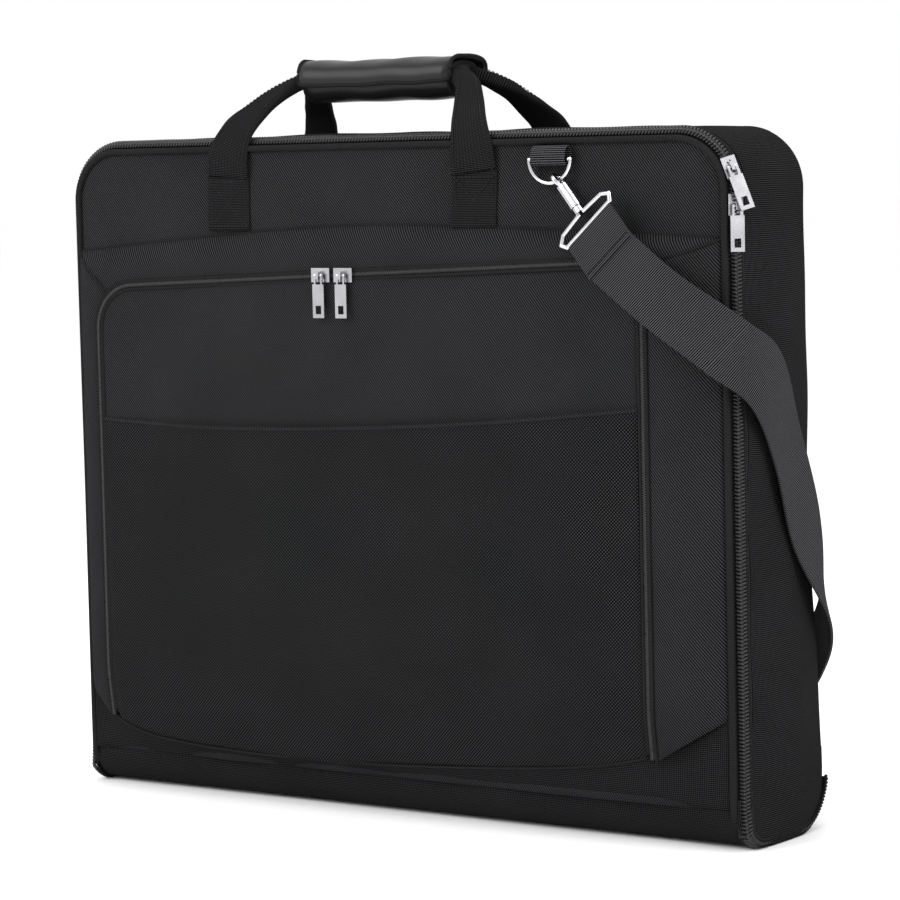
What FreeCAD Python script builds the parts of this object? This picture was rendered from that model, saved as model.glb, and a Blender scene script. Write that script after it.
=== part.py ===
"""Folding garment bag: two padded halves joined by a bottom fold, closed by a zip on three sides.

Millimetres. +X to the right of someone facing the front pocket, +Y to the back, +Z up.
The origin is the middle of the foot that the folded bag stands on.
"""
import FreeCAD, Part
import math
import os
import re

import Sketcher

from FreeCAD import Vector

os.makedirs("parts", exist_ok=True)
doc = FreeCAD.newDocument("garment_bag")

SIZES = {
    # the folded bag
    "bag_width": 612.0,
    "bag_height": 530.0,
    "bag_depth": 120.0,
    "corner_radius": 48.0,
    "rear_bend_radius": 45.0,
    "front_bend_radius": 30.0,
    # cloth, padding and boards
    "panel_thickness": 7.0,
    "gusset_wall": 3.0,
    "cloth_wall": 1.6,
    "board_thickness": 1.5,
    "lining_thickness": 0.6,
    "layer_gap": 0.2,
    "moving_gap": 1.0,
    "fold_side_gap": 3.0,
    # perimeter zip, on the slanted front edge
    "zip_slope": 6.5,
    "zip_thickness": 2.5,
    "zip_split": 0.4,
    "welt_width": 5.0,
    "welt_proud": 2.0,
    # raised front pocket
    "pocket_depth": 14.0,
    "pocket_left_margin": 34.0,
    "pocket_right_margin": 66.0,
    "pocket_foot": 70.0,
    "pocket_top_margin": 104.0,
    "pocket_radius": 40.0,
    "pocket_flare_left": 22.0,
    "pocket_flare_right": 50.0,
    "pocket_flare_top": 28.0,
    "pocket_flare_foot": 7.0,
    "pocket_wall": 2.5,
    "pocket_zip_row": 3.0,
    "pocket_zip_height": 2.2,
    "door_thickness": 1.8,
    "slip_gap": 4.9,
    "slip_top_drop": 121.0,
    "slider_left_place": 45.0,
    "slider_right_place": 24.0,
    # handles
    "handle_left": 143.0,
    "handle_right": 88.0,
    "handle_width": 40.0,
    "handle_thickness": 3.2,
    "patch_top_margin": 30.0,
    "patch_height": 42.0,
    "grip_radius": 7.0,
    "grip_rise": 45.0,
    "grip_spacing": 22.0,
    "wrap_length": 138.0,
    "wrap_wall": 4.0,
    "wrap_inner_height": 20.0,
    "flap_thickness": 5.0,
    # strap and its metalwork
    "front_ring_right": 157.0,
    "rear_ring_left": 222.0,
    "ring_radius": 17.6,
    "ring_wire": 1.6,
    "ring_drop": 22.0,
    "ring_standoff": 8.0,
    "ring_tab_width": 30.0,
    "front_clasp_droop": 47.0,
    "rear_clasp_droop": 75.0,
    "front_clasp_tilt": 12.0,
    "rear_clasp_tilt": 4.0,
    "hook_lag": 17.2,
    "hook_radius": 5.4,
    "hook_wire": 1.8,
    "barrel_radius": 5.0,
    "barrel_length": 22.0,
    "loop_width": 56.0,
    "loop_reach": 45.0,
    "strap_width": 48.0,
    "strap_thickness": 2.6,
    # zip sliders and pulls
    "slider_length": 17.0,
    "slider_width": 11.0,
    "slider_plate": 1.8,
    "slider_clear": 0.4,
    "lower_slider_drop": 10.0,
    "upper_slider_turn": 22.0,
    "pull_length": 33.0,
    "pull_width": 10.5,
    "pull_thickness": 1.8,
    # hanger clamp inside the back half
    "clamp_width": 64.0,
    "clamp_height": 34.0,
    "clamp_depth": 14.0,
    "garment_strap_width": 25.0,
}

sheet = doc.addObject("Spreadsheet::Sheet", "Sizes")
for row, (alias, number) in enumerate(SIZES.items(), start=1):
    sheet.set(f"A{row}", alias)
    sheet.set(f"B{row}", str(number))
    sheet.setAlias(f"B{row}", alias)
doc.recompute()


def size(alias):
    """A driving size as the sheet holds it."""
    return float(sheet.get(alias))


def bound(expression):
    """Write the sheet's aliases in an expression as references to the sheet."""
    return re.sub(r"[a-z_]{4,}", lambda word: "Sizes." + word.group(), expression)


nodes = []


def keep(item, label):
    """Name a finished sub-part and list it for export."""
    item.Label = label
    nodes.append(item)
    return item


# ---------------------------------------------------------------- building blocks

PLANES = {"y": "XZ_Plane", "x": "YZ_Plane", "z": "XY_Plane"}


def block(name, x, y, z, rounds=(), normal="y"):
    """Body padded from a rectangle. x, y, z are (low, high) expressions; rounds are (test, radius)."""
    body = doc.addObject("PartDesign::Body", name)
    plane = next(f for f in body.Origin.OriginFeatures if f.Role == PLANES[normal])
    sketch = body.newObject("Sketcher::SketchObject", name + "_outline")
    sketch.AttachmentSupport = [(plane, "")]
    sketch.MapMode = "FlatFace"
    across, up, through = {"y": (x, z, y), "x": (y, z, x), "z": (x, y, z)}[normal]
    corners = [Vector(0, 0), Vector(10, 0), Vector(10, 10), Vector(0, 10)]
    for number, corner in enumerate(corners):
        sketch.addGeometry(Part.LineSegment(corner, corners[(number + 1) % 4]))
    for number in range(4):
        sketch.addConstraint(Sketcher.Constraint("Coincident", number, 2, (number + 1) % 4, 1))
    for number in (0, 2):
        sketch.addConstraint(Sketcher.Constraint("Horizontal", number))
        sketch.addConstraint(Sketcher.Constraint("Vertical", number + 1))
    sketch.addConstraint(Sketcher.Constraint("Coincident", 0, 1, -1, 1))
    wide = sketch.addConstraint(Sketcher.Constraint("DistanceX", 0, 1, 0, 2, 10))
    tall = sketch.addConstraint(Sketcher.Constraint("DistanceY", 1, 1, 1, 2, 10))
    sketch.renameConstraint(wide, "wide")
    sketch.renameConstraint(tall, "tall")
    sketch.setExpression("Constraints.wide", bound(f"({across[1]}) - ({across[0]})"))
    sketch.setExpression("Constraints.tall", bound(f"({up[1]}) - ({up[0]})"))
    sketch.setExpression("AttachmentOffset.Base.x", bound(across[0]))
    sketch.setExpression("AttachmentOffset.Base.y", bound(up[0]))
    start = f"-({through[1]})" if normal == "y" else through[0]
    sketch.setExpression("AttachmentOffset.Base.z", bound(start))
    pad = body.newObject("PartDesign::Pad", name + "_pad")
    pad.Profile = sketch
    pad.setExpression("Length", bound(f"({through[1]}) - ({through[0]})"))
    feature = pad
    for number, (wanted, radius) in enumerate(rounds):
        doc.recompute()
        middles = [edge.CenterOfMass for edge in feature.Shape.Edges]
        middle = feature.Shape.BoundBox.Center
        names = [f"Edge{k + 1}" for k, point in enumerate(middles)
                 if wanted(point - middle, feature.Shape.Edges[k])]
        fillet = body.newObject("PartDesign::Fillet", f"{name}_round{number}")
        fillet.Base = (feature, names)
        fillet.setExpression("Radius", bound(radius))
        feature = fillet
    return body


def along(edge, axis):
    """True for a straight edge parallel to an axis."""
    ends = edge.Vertexes
    if len(ends) != 2:
        return False
    step = ends[1].Point - ends[0].Point
    return step.Length > 1e-6 and abs(step.dot(axis)) > 0.999 * step.Length


AXIS_X, AXIS_Y, AXIS_Z = Vector(1, 0, 0), Vector(0, 1, 0), Vector(0, 0, 1)


def top_corners(offset, edge):
    """The two upper edges that run front to back."""
    return along(edge, AXIS_Y) and offset.z > 0


def bag_plate(name, inset, y, foot, radius=None):
    """A plate of the bag's outline, set in from it, with the bag's rounded top corners."""
    radius = radius or f"corner_radius - ({inset})"
    x = (f"-bag_width / 2 + ({inset})", f"bag_width / 2 - ({inset})")
    return block(name, x, y, (foot, f"bag_height - ({inset})"), [(top_corners, radius)])


def cut(name, base, tool):
    item = doc.addObject("Part::Cut", name)
    item.Base = base
    item.Tool = tool
    return item


def fuse(name, pieces):
    item = doc.addObject("Part::MultiFuse", name)
    item.Shapes = pieces
    return item


def shaped(name, shape):
    """A sub-part whose outline no primitive has."""
    item = doc.addObject("Part::Feature", name)
    item.Shape = shape
    return item


def arch_wire(left, right, foot, top, radius, y):
    """Upright outline at depth y: flat foot, straight sides, two round top corners."""
    k = radius * (1 - math.sqrt(0.5))
    a = Vector(left, y, foot)
    b = Vector(right, y, foot)
    c = Vector(right, y, top - radius)
    d = Vector(right - radius, y, top)
    e = Vector(left + radius, y, top)
    f = Vector(left, y, top - radius)
    right_arc = Part.Arc(c, Vector(right - k, y, top - k), d)
    left_arc = Part.Arc(e, Vector(left + k, y, top - k), f)
    edges = [Part.LineSegment(a, b), Part.LineSegment(b, c), right_arc,
             Part.LineSegment(d, e), left_arc, Part.LineSegment(f, a)]
    return Part.Wire([edge.toShape() for edge in edges])


def tapered(near, far):
    """Solid between two outlines of the same kind at different depths."""
    return Part.makeLoft([near, far], True, True)


def ribbon(sections, thickness, width):
    """Flat strap through (centre, direction of its width) sections; it faces square to its path."""
    centres = [Vector(centre) for centre, _ in sections]
    wires = []
    for number, (_, wide) in enumerate(sections):
        before = centres[max(number - 1, 0)]
        after = centres[min(number + 1, len(centres) - 1)]
        face = (after - before).cross(Vector(wide))
        face.normalize()
        half_wide = Vector(wide)
        half_wide.normalize()
        half_wide = half_wide * (width / 2)
        half_thick = face * (thickness / 2)
        corners = [centres[number] + half_wide * i + half_thick * j
                   for i, j in ((-1, -1), (1, -1), (1, 1), (-1, 1), (-1, -1))]
        wires.append(Part.makePolygon(corners))
    return Part.makeLoft(wires, True, True)


def oriented(shape, at, along_x, out_z):
    """Copy of a shape whose own X and Z are turned to the given directions, moved to a point."""
    x, z = Vector(along_x), Vector(out_z)
    x.normalize()
    z = z - x * z.dot(x)
    z.normalize()
    y = z.cross(x)
    turn = FreeCAD.Matrix(x.x, y.x, z.x, at.x, x.y, y.y, z.y, at.y, x.z, y.z, z.z, at.z)
    return shape.transformed(turn, True)


# ---------------------------------------------------------------- shared places

front = "-bag_depth / 2"
back = "bag_depth / 2"
W = size("bag_width")
H = size("bag_height")
D = size("bag_depth")
gap = size("layer_gap")
pocket_top = H - size("pocket_top_margin")
patch_top = H - size("patch_top_margin")
grip_height = H + size("grip_rise")
handle_middle = (size("handle_right") - size("handle_left")) / 2


# ---------------------------------------------------------------- back half

def back_half():
    back_foot = "rear_bend_radius + moving_gap"
    inner_back = "bag_depth / 2 - panel_thickness - 1"
    keep(bag_plate("back_panel", "0", ("bag_depth / 2 - panel_thickness - 1", back), back_foot),
         "back_panel")
    gusset_y = ("-bag_depth / 2 + zip_slope + 3", f"{inner_back} - layer_gap")
    outer = bag_plate("gusset_outer", "0", gusset_y, "0")
    inner = bag_plate("gusset_inner", "gusset_wall", gusset_y, "-1")
    tube = cut("gusset_tube", outer, inner)
    doc.recompute()
    keep(cut("gusset_cut", tube, fold_corner_waste()), "gusset")
    board_y = (f"{inner_back} - layer_gap - board_thickness", f"{inner_back} - layer_gap")
    keep(bag_plate("back_board", "12", board_y, f"{back_foot} + 6"), "back_stiffener")
    lining_back = f"{inner_back} - 2 * layer_gap - board_thickness"
    keep(bag_plate("back_lining_plate", "gusset_wall + 1",
                   (f"{lining_back} - lining_thickness", lining_back), f"{back_foot} + 3"),
         "back_lining")


def fold_corner_waste():
    """What rounds the gusset's lower ends to the fold's two bend radii."""
    front_y = -D / 2
    back_y = D / 2
    rear, fore = size("rear_bend_radius"), size("front_bend_radius")
    reach = W / 2 + 10
    waste = []
    for edge_y, radius, sign in ((front_y, fore, 1), (back_y, rear, -1)):
        corner = Part.makeBox(2 * reach, radius + 10, radius + 10, Vector(-reach, 0, -10))
        shift = edge_y - 10 if sign > 0 else edge_y - radius
        corner.translate(Vector(0, shift, 0))
        round_bar = Part.makeCylinder(radius, 2 * reach, Vector(-reach, edge_y + sign * radius, radius),
                                      AXIS_X)
        waste.append(corner.cut(round_bar))
    return shaped("fold_corner_waste", waste[0].fuse(waste[1]))


def bottom_fold():
    """The bent bottom panel, between the lower ends of the gusset."""
    rear, fore = size("rear_bend_radius"), size("front_bend_radius")
    wall = size("gusset_wall")
    half = W / 2 - wall - size("fold_side_gap")

    def profile(inset):
        f, r = fore - inset, rear - inset
        low_front = Vector(-half, -D / 2 + inset, fore)
        low_back = Vector(-half, D / 2 - inset, rear)
        a = Vector(-half, -D / 2 + fore, inset)
        b = Vector(-half, D / 2 - rear, inset)
        mid_front = Vector(-half, -D / 2 + fore - f * math.sqrt(0.5), fore - f * math.sqrt(0.5))
        mid_back = Vector(-half, D / 2 - rear + r * math.sqrt(0.5), rear - r * math.sqrt(0.5))
        return low_front, mid_front, a, b, mid_back, low_back

    outside, inside = profile(0), profile(wall)
    edges = [
        Part.Arc(*outside[0:3]).toShape(), Part.LineSegment(outside[2], outside[3]).toShape(),
        Part.Arc(*outside[3:6]).toShape(), Part.LineSegment(outside[5], inside[5]).toShape(),
        Part.Arc(inside[5], inside[4], inside[3]).toShape(),
        Part.LineSegment(inside[3], inside[2]).toShape(),
        Part.Arc(inside[2], inside[1], inside[0]).toShape(),
        Part.LineSegment(inside[0], outside[0]).toShape(),
    ]
    face = Part.Face(Part.Wire(edges))
    keep(shaped("bottom_bend", face.extrude(Vector(2 * half, 0, 0))), "bottom_panel")


# ---------------------------------------------------------------- perimeter zip and front half

def slanted_arch(near, far, foot, thickness):
    """Strip over the bag's top and sides whose section slopes from (y, inset) near to far."""
    radius = size("corner_radius")

    def outline(place, extra, base):
        y, inset = place
        reach = inset + extra
        return arch_wire(-W / 2 + reach, W / 2 - reach, base, H - reach, radius - reach, y)

    solid = tapered(outline(near, 0, foot), outline(far, 0, foot))
    hollow = tapered(outline(near, thickness, foot - 5), outline(far, thickness, foot - 5))
    return solid.cut(hollow)


def perimeter_zip():
    slope = size("zip_slope")
    front_end = (-D / 2 + 3, slope)
    back_end = (-D / 2 + 3 + slope, 0)
    middle = (-D / 2 + 3 + slope / 2, slope / 2)
    split = size("zip_split") / 2 * math.sqrt(0.5)
    thickness = size("zip_thickness") * math.sqrt(2)
    foot = size("rear_bend_radius") + size("moving_gap")
    front_row = slanted_arch(front_end, (middle[0] - split, middle[1] + split), foot, thickness)
    keep(shaped("front_row", front_row), "main_zip_front_chain")
    rear_start = (middle[0] + split, middle[1] - split)
    rear_row = slanted_arch(rear_start, (back_end[0] - gap, 0), foot, thickness)
    keep(shaped("rear_row", rear_row), "main_zip_rear_chain")


def front_half():
    foot = "front_bend_radius + moving_gap"
    inset = "zip_slope + 0.5 + welt_width + layer_gap"
    inner_front = "-bag_depth / 2 + panel_thickness"
    keep(bag_plate("front_padding", inset, (front, inner_front), foot), "front_panel")
    welt_y = ("-bag_depth / 2 - welt_proud", "-bag_depth / 2 - welt_proud + welt_width")
    welt_outer = bag_plate("welt_outer", "zip_slope + 0.5", welt_y, foot)
    welt_inner = bag_plate("welt_inner", "zip_slope + 0.5 + welt_width", welt_y, f"{foot} - 1")
    keep(cut("welt_cut", welt_outer, welt_inner), "front_welt")
    board_y = (f"{inner_front} + layer_gap", f"{inner_front} + layer_gap + board_thickness")
    keep(bag_plate("front_board", "18", board_y, f"{foot} + 8"), "front_stiffener")
    lining_front = f"{inner_front} + 2 * layer_gap + board_thickness"
    keep(bag_plate("front_lining_plate", "14",
                   (lining_front, f"{lining_front} + lining_thickness"), f"{foot} + 4"),
         "front_lining")
    guard_y = ("-bag_depth / 2 - cloth_wall", "-bag_depth / 2 - 0.1")
    guard_x = (f"-bag_width / 2 + {inset}", f"bag_width / 2 - ({inset})")
    keep(block("guard_plate", guard_x, guard_y,
               (foot, "pocket_foot - pocket_flare_foot - layer_gap")), "bottom_guard")


# ---------------------------------------------------------------- front pocket

def pocket():
    left, right = size("pocket_left_margin") - W / 2, W / 2 - size("pocket_right_margin")
    foot, top = size("pocket_foot"), pocket_top
    radius = size("pocket_radius")
    base_y = -D / 2 - 0.1
    rim_y = base_y - size("pocket_depth")
    wall = size("pocket_wall")

    def rim(inset, y):
        return arch_wire(left + inset, right - inset, foot + inset, top - inset, radius - inset, y)

    def base(inset, y):
        return arch_wire(left - size("pocket_flare_left") + inset,
                         right + size("pocket_flare_right") - inset,
                         foot - size("pocket_flare_foot") + inset,
                         top + size("pocket_flare_top") - inset, radius - inset, y)

    shell = tapered(base(0, base_y), rim(0, rim_y)).cut(tapered(base(wall, base_y), rim(wall, rim_y)))
    keep(shaped("pocket_walls", shell), "pocket_gusset")

    row, height = size("pocket_zip_row"), size("pocket_zip_height")
    split = size("zip_split")
    zip_back = rim_y - gap

    def flat_arch(outer, inner):
        solid = tapered(rim(outer, zip_back), rim(outer, zip_back - height))
        hole = tapered(rim(inner, zip_back + 1), rim(inner, zip_back - height - 1))
        lower = Part.makeBox(W, 4 * height + 4, 2 * inner,
                             Vector(-W / 2, zip_back - height - 2 * height, foot - inner + gap))
        return solid.cut(hole).cut(lower)

    keep(shaped("outer_row", flat_arch(0, row)), "pocket_zip_outer_chain")
    keep(shaped("inner_row", flat_arch(row + split, 2 * row + split)), "pocket_zip_inner_chain")

    inset = 2 * row + split + gap
    door = tapered(rim(inset, zip_back), rim(inset, zip_back - size("door_thickness")))
    keep(shaped("door_plate", door), "pocket_door")

    door_face = zip_back - size("door_thickness")
    cloth, slip = size("cloth_wall"), size("slip_gap")
    edge = inset + 3
    tray_x = (left + edge, right - edge)
    tray_z = (foot + edge, top - size("slip_top_drop"))
    tray = Part.makeBox(tray_x[1] - tray_x[0], slip + cloth, tray_z[1] - tray_z[0],
                        Vector(tray_x[0], door_face - 0.1 - slip - cloth, tray_z[0]))
    hollow = Part.makeBox(tray_x[1] - tray_x[0] - 2 * cloth, slip + 1, tray_z[1] - tray_z[0],
                          Vector(tray_x[0] + cloth, door_face - 0.1 - slip, tray_z[0] + cloth))
    keep(shaped("slip_tray", tray.cut(hollow)), "slip_pocket_panel")
    return zip_back - height


# ---------------------------------------------------------------- zip sliders and pulls

def pull_height():
    """Height of the pull's pin above the zip."""
    return size("slider_clear") + size("slider_plate") + 2.6


def slider_shape(quarter_turn):
    """Slider over a zip: X along the zip, Z away from it. A turned bridge lets the pull hang across."""
    length, width, plate = size("slider_length"), size("slider_width"), size("slider_plate")
    low = size("slider_clear")
    wing = Part.makeBox(length, width, plate, Vector(-length / 2, -width / 2, low))
    bridge = Part.makeBox(6, 2.6, 5.0, Vector(-3, -1.3, low + plate - 0.01))
    bore = Part.makeCylinder(1.4, 4, Vector(0, -2, pull_height()), AXIS_Y)
    bridge = bridge.cut(bore)
    if quarter_turn:
        bridge.rotate(Vector(), AXIS_Z, 90)
    return wing.fuse(bridge)


def pull_shape():
    """Pull hanging towards -X from a cross bar through the slider's bridge."""
    rise = pull_height()
    width, thick, length = size("pull_width"), size("pull_thickness"), size("pull_length")
    bar = Part.makeCylinder(1.1, 7.4, Vector(0, -3.7, rise), AXIS_Y)
    arms = [Part.makeBox(8.5, 1.5, thick, Vector(-8, side, rise - thick / 2)) for side in (-3.7, 2.2)]
    tab = Part.makeBox(length - 7, width, thick, Vector(-length, -width / 2, rise - thick / 2))
    window = Part.makeBox(6.5, 5, thick + 2, Vector(-length + 3, -2.5, rise - thick / 2 - 1))
    body = bar
    for piece in arms + [tab]:
        body = body.fuse(piece)
    return body.cut(window).removeSplitter()


def main_sliders():
    """Two sliders on the slanted zip: one on the right edge, one just round the top corner."""
    slope, corner = size("zip_slope"), size("corner_radius")
    mid_y = -D / 2 + 3 + slope / 2
    mid_inset = slope / 2
    out = Vector(1, -1, 0)
    out.normalize()
    lower_at = Vector(W / 2 - mid_inset, mid_y, H - corner - size("lower_slider_drop"))
    keep(shaped("lower_slider", oriented(slider_shape(False), lower_at, AXIS_Z, out)),
         "main_slider_lower")
    keep(shaped("lower_pull", oriented(pull_shape(), lower_at, AXIS_Z, out)), "main_pull_lower")
    angle = math.radians(size("upper_slider_turn"))
    centre = Vector(W / 2 - corner, mid_y, H - corner)
    spoke = Vector(math.cos(angle), 0, math.sin(angle))
    tangent = Vector(-math.sin(angle), 0, math.cos(angle))
    upper_at = centre + spoke * (corner - mid_inset)
    upper_out = spoke - AXIS_Y
    keep(shaped("upper_slider", oriented(slider_shape(False), upper_at, tangent, upper_out)),
         "main_slider_upper")
    keep(shaped("upper_pull", oriented(pull_shape(), upper_at, tangent, upper_out)), "main_pull_upper")


def pocket_sliders(zip_face):
    row_middle = size("pocket_zip_row") + size("zip_split") / 2
    for name, way in (("left", -1), ("right", 1)):
        at = Vector(-size(f"slider_{name}_place"), zip_face, pocket_top - row_middle)
        keep(shaped(f"{name}_slider", oriented(slider_shape(True), at, Vector(-way, 0, 0), -AXIS_Y)),
             f"pocket_slider_{name}")
        keep(shaped(f"{name}_pull", oriented(pull_shape(), at, AXIS_Z, -AXIS_Y)),
             f"pocket_pull_{name}")


# ---------------------------------------------------------------- handles

def handle_patches(side, label):
    """Sewn-down ends of a handle, on the front (side -1) or back (side 1) face."""
    pieces = []
    for name, place in (("left", "-handle_left"), ("right", "handle_right")):
        near = "bag_depth / 2 + 0.1"
        far = "bag_depth / 2 + cloth_wall"
        y = (near, far) if side > 0 else (f"-({far})", f"-({near})")
        x = (f"{place} - handle_width / 2", f"{place} + handle_width / 2")
        z = ("bag_height - patch_top_margin - patch_height", "bag_height - patch_top_margin")
        pieces.append(block(f"{label}_{name}", x, y, z))
    keep(fuse(f"{label}_pair", pieces), label)


def end_section(centre, width, thick):
    """Level rectangle that a handle's leg passes through."""
    corners = [centre + Vector(width / 2 * i, thick / 2 * j, 0)
               for i, j in ((-1, -1), (1, -1), (1, 1), (-1, 1), (-1, -1))]
    return Part.makePolygon(corners)


def handle(side, label):
    """Two flat legs that lean in over the bag's top edge, and a round grip between them."""
    face = D / 2 + size("cloth_wall") + 1.0
    width, thick = size("handle_width"), size("handle_thickness")
    grip_y, grip_z = size("grip_spacing") / 2, grip_height
    low, top = patch_top + 1.0, H + 8
    reach = size("wrap_length") / 2 + 12
    grip_start = Vector(handle_middle - reach, side * grip_y, grip_z)
    body = Part.makeCylinder(size("grip_radius"), 2 * reach, grip_start, AXIS_X)
    for foot_x, way in ((-size("handle_left"), -1), (size("handle_right"), 1)):
        end_x = handle_middle + way * (reach - 2)
        lean = (end_x - foot_x) * 0.3
        y0 = side * (face + thick / 2)
        knee = Vector(foot_x + lean, y0 + side, top)
        leg_low = ribbon([(Vector(foot_x, y0, low), AXIS_X), (knee, AXIS_X)], thick, width)
        grip_end = Vector(end_x, side * (grip_y + 3), grip_z)
        leg_high = tapered(end_section(knee - AXIS_Z * 2, width, thick),
                           end_section(grip_end, width * 0.4, thick))
        body = body.fuse(leg_low).fuse(leg_high)
    keep(shaped(f"{label}_shape", body.removeSplitter()), label)


def handle_wrap():
    """Padded trough around both grips, and the lid that laps over its front."""
    left = handle_middle - size("wrap_length") / 2
    long = size("wrap_length")
    wall, inner_z = size("wrap_wall"), size("wrap_inner_height")
    depth = size("grip_spacing") / 2 + size("grip_radius") + 2
    low = grip_height - size("grip_radius") - 2
    trough = Part.makeBox(long, 2 * (depth + wall), inner_z + wall, Vector(left, -depth - wall, low - wall))
    hollow = Part.makeBox(long + 2, 2 * depth, inner_z + 1, Vector(left - 1, -depth, low))
    keep(shaped("wrap_trough", trough.cut(hollow)), "handle_wrap")
    lid_z = low + inner_z + 0.4
    thick = size("flap_thickness")
    lap, overhang, lip_height = 1.2, 5.0, 12.0
    lip_front = -depth - wall - lap - thick
    lid = Part.makeBox(long + 2 * overhang, 2 * (depth + wall) + lap + thick, thick,
                       Vector(left - overhang, lip_front, lid_z))
    lip = Part.makeBox(long + 2 * overhang, thick, lip_height,
                       Vector(left - overhang, lip_front, lid_z - lip_height + 0.1))
    keep(shaped("wrap_lid", lid.fuse(lip).removeSplitter()), "handle_wrap_flap")


# ---------------------------------------------------------------- rings, clasps and strap

def clasp_frame(side):
    """Ring centre, the point the hook hangs from, and the clasp's own direction."""
    across = size("front_ring_right") if side < 0 else -size("rear_ring_left")
    centre = Vector(across, side * (D / 2 + size("ring_standoff")), H - size("ring_drop"))
    droop = size("front_clasp_droop") if side < 0 else size("rear_clasp_droop")
    angle = math.radians(droop)
    tilt = math.radians(size("front_clasp_tilt") if side < 0 else size("rear_clasp_tilt"))
    flat = Vector(math.cos(angle), 0, -math.sin(angle))
    hang_angle = angle + math.radians(size("hook_lag"))
    hang = Vector(math.cos(hang_angle), 0, -math.sin(hang_angle))
    way = flat * math.cos(tilt) + AXIS_Y * (side * math.sin(tilt))
    return centre, centre + hang * size("ring_radius"), way


def ring_tab(side, label):
    """Webbing tab folded round the ring's bar."""
    centre, _, _ = clasp_frame(side)
    width = size("ring_tab_width")
    face = side * (D / 2 + 0.1)
    depth = size("ring_standoff") + size("ring_wire") + 2.4
    y = min(face, face + side * depth)
    block_shape = Part.makeBox(width, depth, 14, Vector(centre.x - width / 2, y, centre.z - 4))
    bore = Part.makeCylinder(size("ring_wire") + 0.4, width + 2, centre - AXIS_X * (width / 2 + 1), AXIS_X)
    keep(shaped(f"{label}_shape", block_shape.cut(bore)), label)


def ring_and_clasp(side, prefix):
    centre, hook_at, way = clasp_frame(side)
    radius, wire = size("ring_radius"), size("ring_wire")
    reach = radius + 2 * wire
    lower_half = Part.makeBox(2 * reach, 2 * reach, reach, centre - Vector(reach, reach, reach))
    bend = Part.makeTorus(radius, wire, centre, AXIS_Y).common(lower_half)
    bar = Part.makeCylinder(wire, 2 * radius, centre - AXIS_X * radius, AXIS_X)
    ends = [Part.makeSphere(wire, centre + AXIS_X * (radius * k)) for k in (-1, 1)]
    keep(shaped(f"{prefix}_ring_shape", bend.fuse(bar).fuse(ends[0]).fuse(ends[1]).removeSplitter()),
         f"{prefix}_d_ring")

    hook_r, hook_w = size("hook_radius"), size("hook_wire")
    across = way.cross(AXIS_Y)
    across.normalize()
    outward = across.cross(way)
    hook = Part.makeTorus(hook_r, hook_w, hook_at, across)
    barrel_low = hook_r + hook_w * 0.4
    length = size("barrel_length")
    barrel = Part.makeCylinder(size("barrel_radius"), length, hook_at + way * barrel_low, way)
    stub = Part.makeCylinder(2.0, 4.0, hook_at + way * (barrel_low + length - 0.5), way)
    groove = Part.makeBox(length - 8, 3.4, 3.0, Vector(-(length - 8) / 2, -1.7, 0))
    slot_at = hook_at + way * (barrel_low + length / 2) + outward * (size("barrel_radius") - 2.0)
    hook_body = hook.fuse(barrel).fuse(stub).cut(oriented(groove, slot_at, way, outward))
    keep(shaped(f"{prefix}_hook_shape", hook_body.removeSplitter()), f"{prefix}_clasp_hook")

    thumb = Part.makeBox(5, 2.8, 4.0, Vector(-2.5, -1.4, 0.3))
    thumb_at = slot_at - way * ((length - 8) / 2 - 3.2)
    keep(shaped(f"{prefix}_gate_shape", oriented(thumb, thumb_at, way, outward)), f"{prefix}_clasp_gate")

    # swivel loop: a collar on the stub, two shoulders and the bar that the webbing turns round
    collar_at = hook_at + way * (barrel_low + length + 0.4)
    collar = Part.makeCylinder(4.2, 5.0, collar_at, way)
    collar = collar.cut(Part.makeCylinder(2.4, 3.6, collar_at - way * 0.1, way))
    half = size("loop_width") / 2
    bar_at = hook_at + way * size("loop_reach")
    shoulder_at = collar_at + way * 5.3
    wide = size("hook_wire")
    corners = [shoulder_at + across * 2.5, shoulder_at + across * (half - 6) + way * 1.5,
               bar_at + across * half - way * 5, bar_at + across * (half - 3),
               bar_at - across * (half - 3), bar_at - across * half - way * 5,
               shoulder_at - across * (half - 6) + way * 1.5, shoulder_at - across * 2.5]
    loop = collar
    for start, end in zip(corners[:-1], corners[1:]):
        rod = Part.makeCylinder(wide, (end - start).Length, start, end - start)
        loop = loop.fuse(rod).fuse(Part.makeSphere(wide, end))
    keep(shaped(f"{prefix}_loop_shape", loop), f"{prefix}_clasp_loop")
    return bar_at, way, across


STRAP_CORNER_CLEAR = 17.0    # room under the strap for the zip's slider and pull
STRAP_CORNER_DROP = 158.0    # from the bag's top to where the strap goes round its front edge
STRAP_FLOOR = 6.0            # height of the strap's middle where it meets the floor


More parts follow.
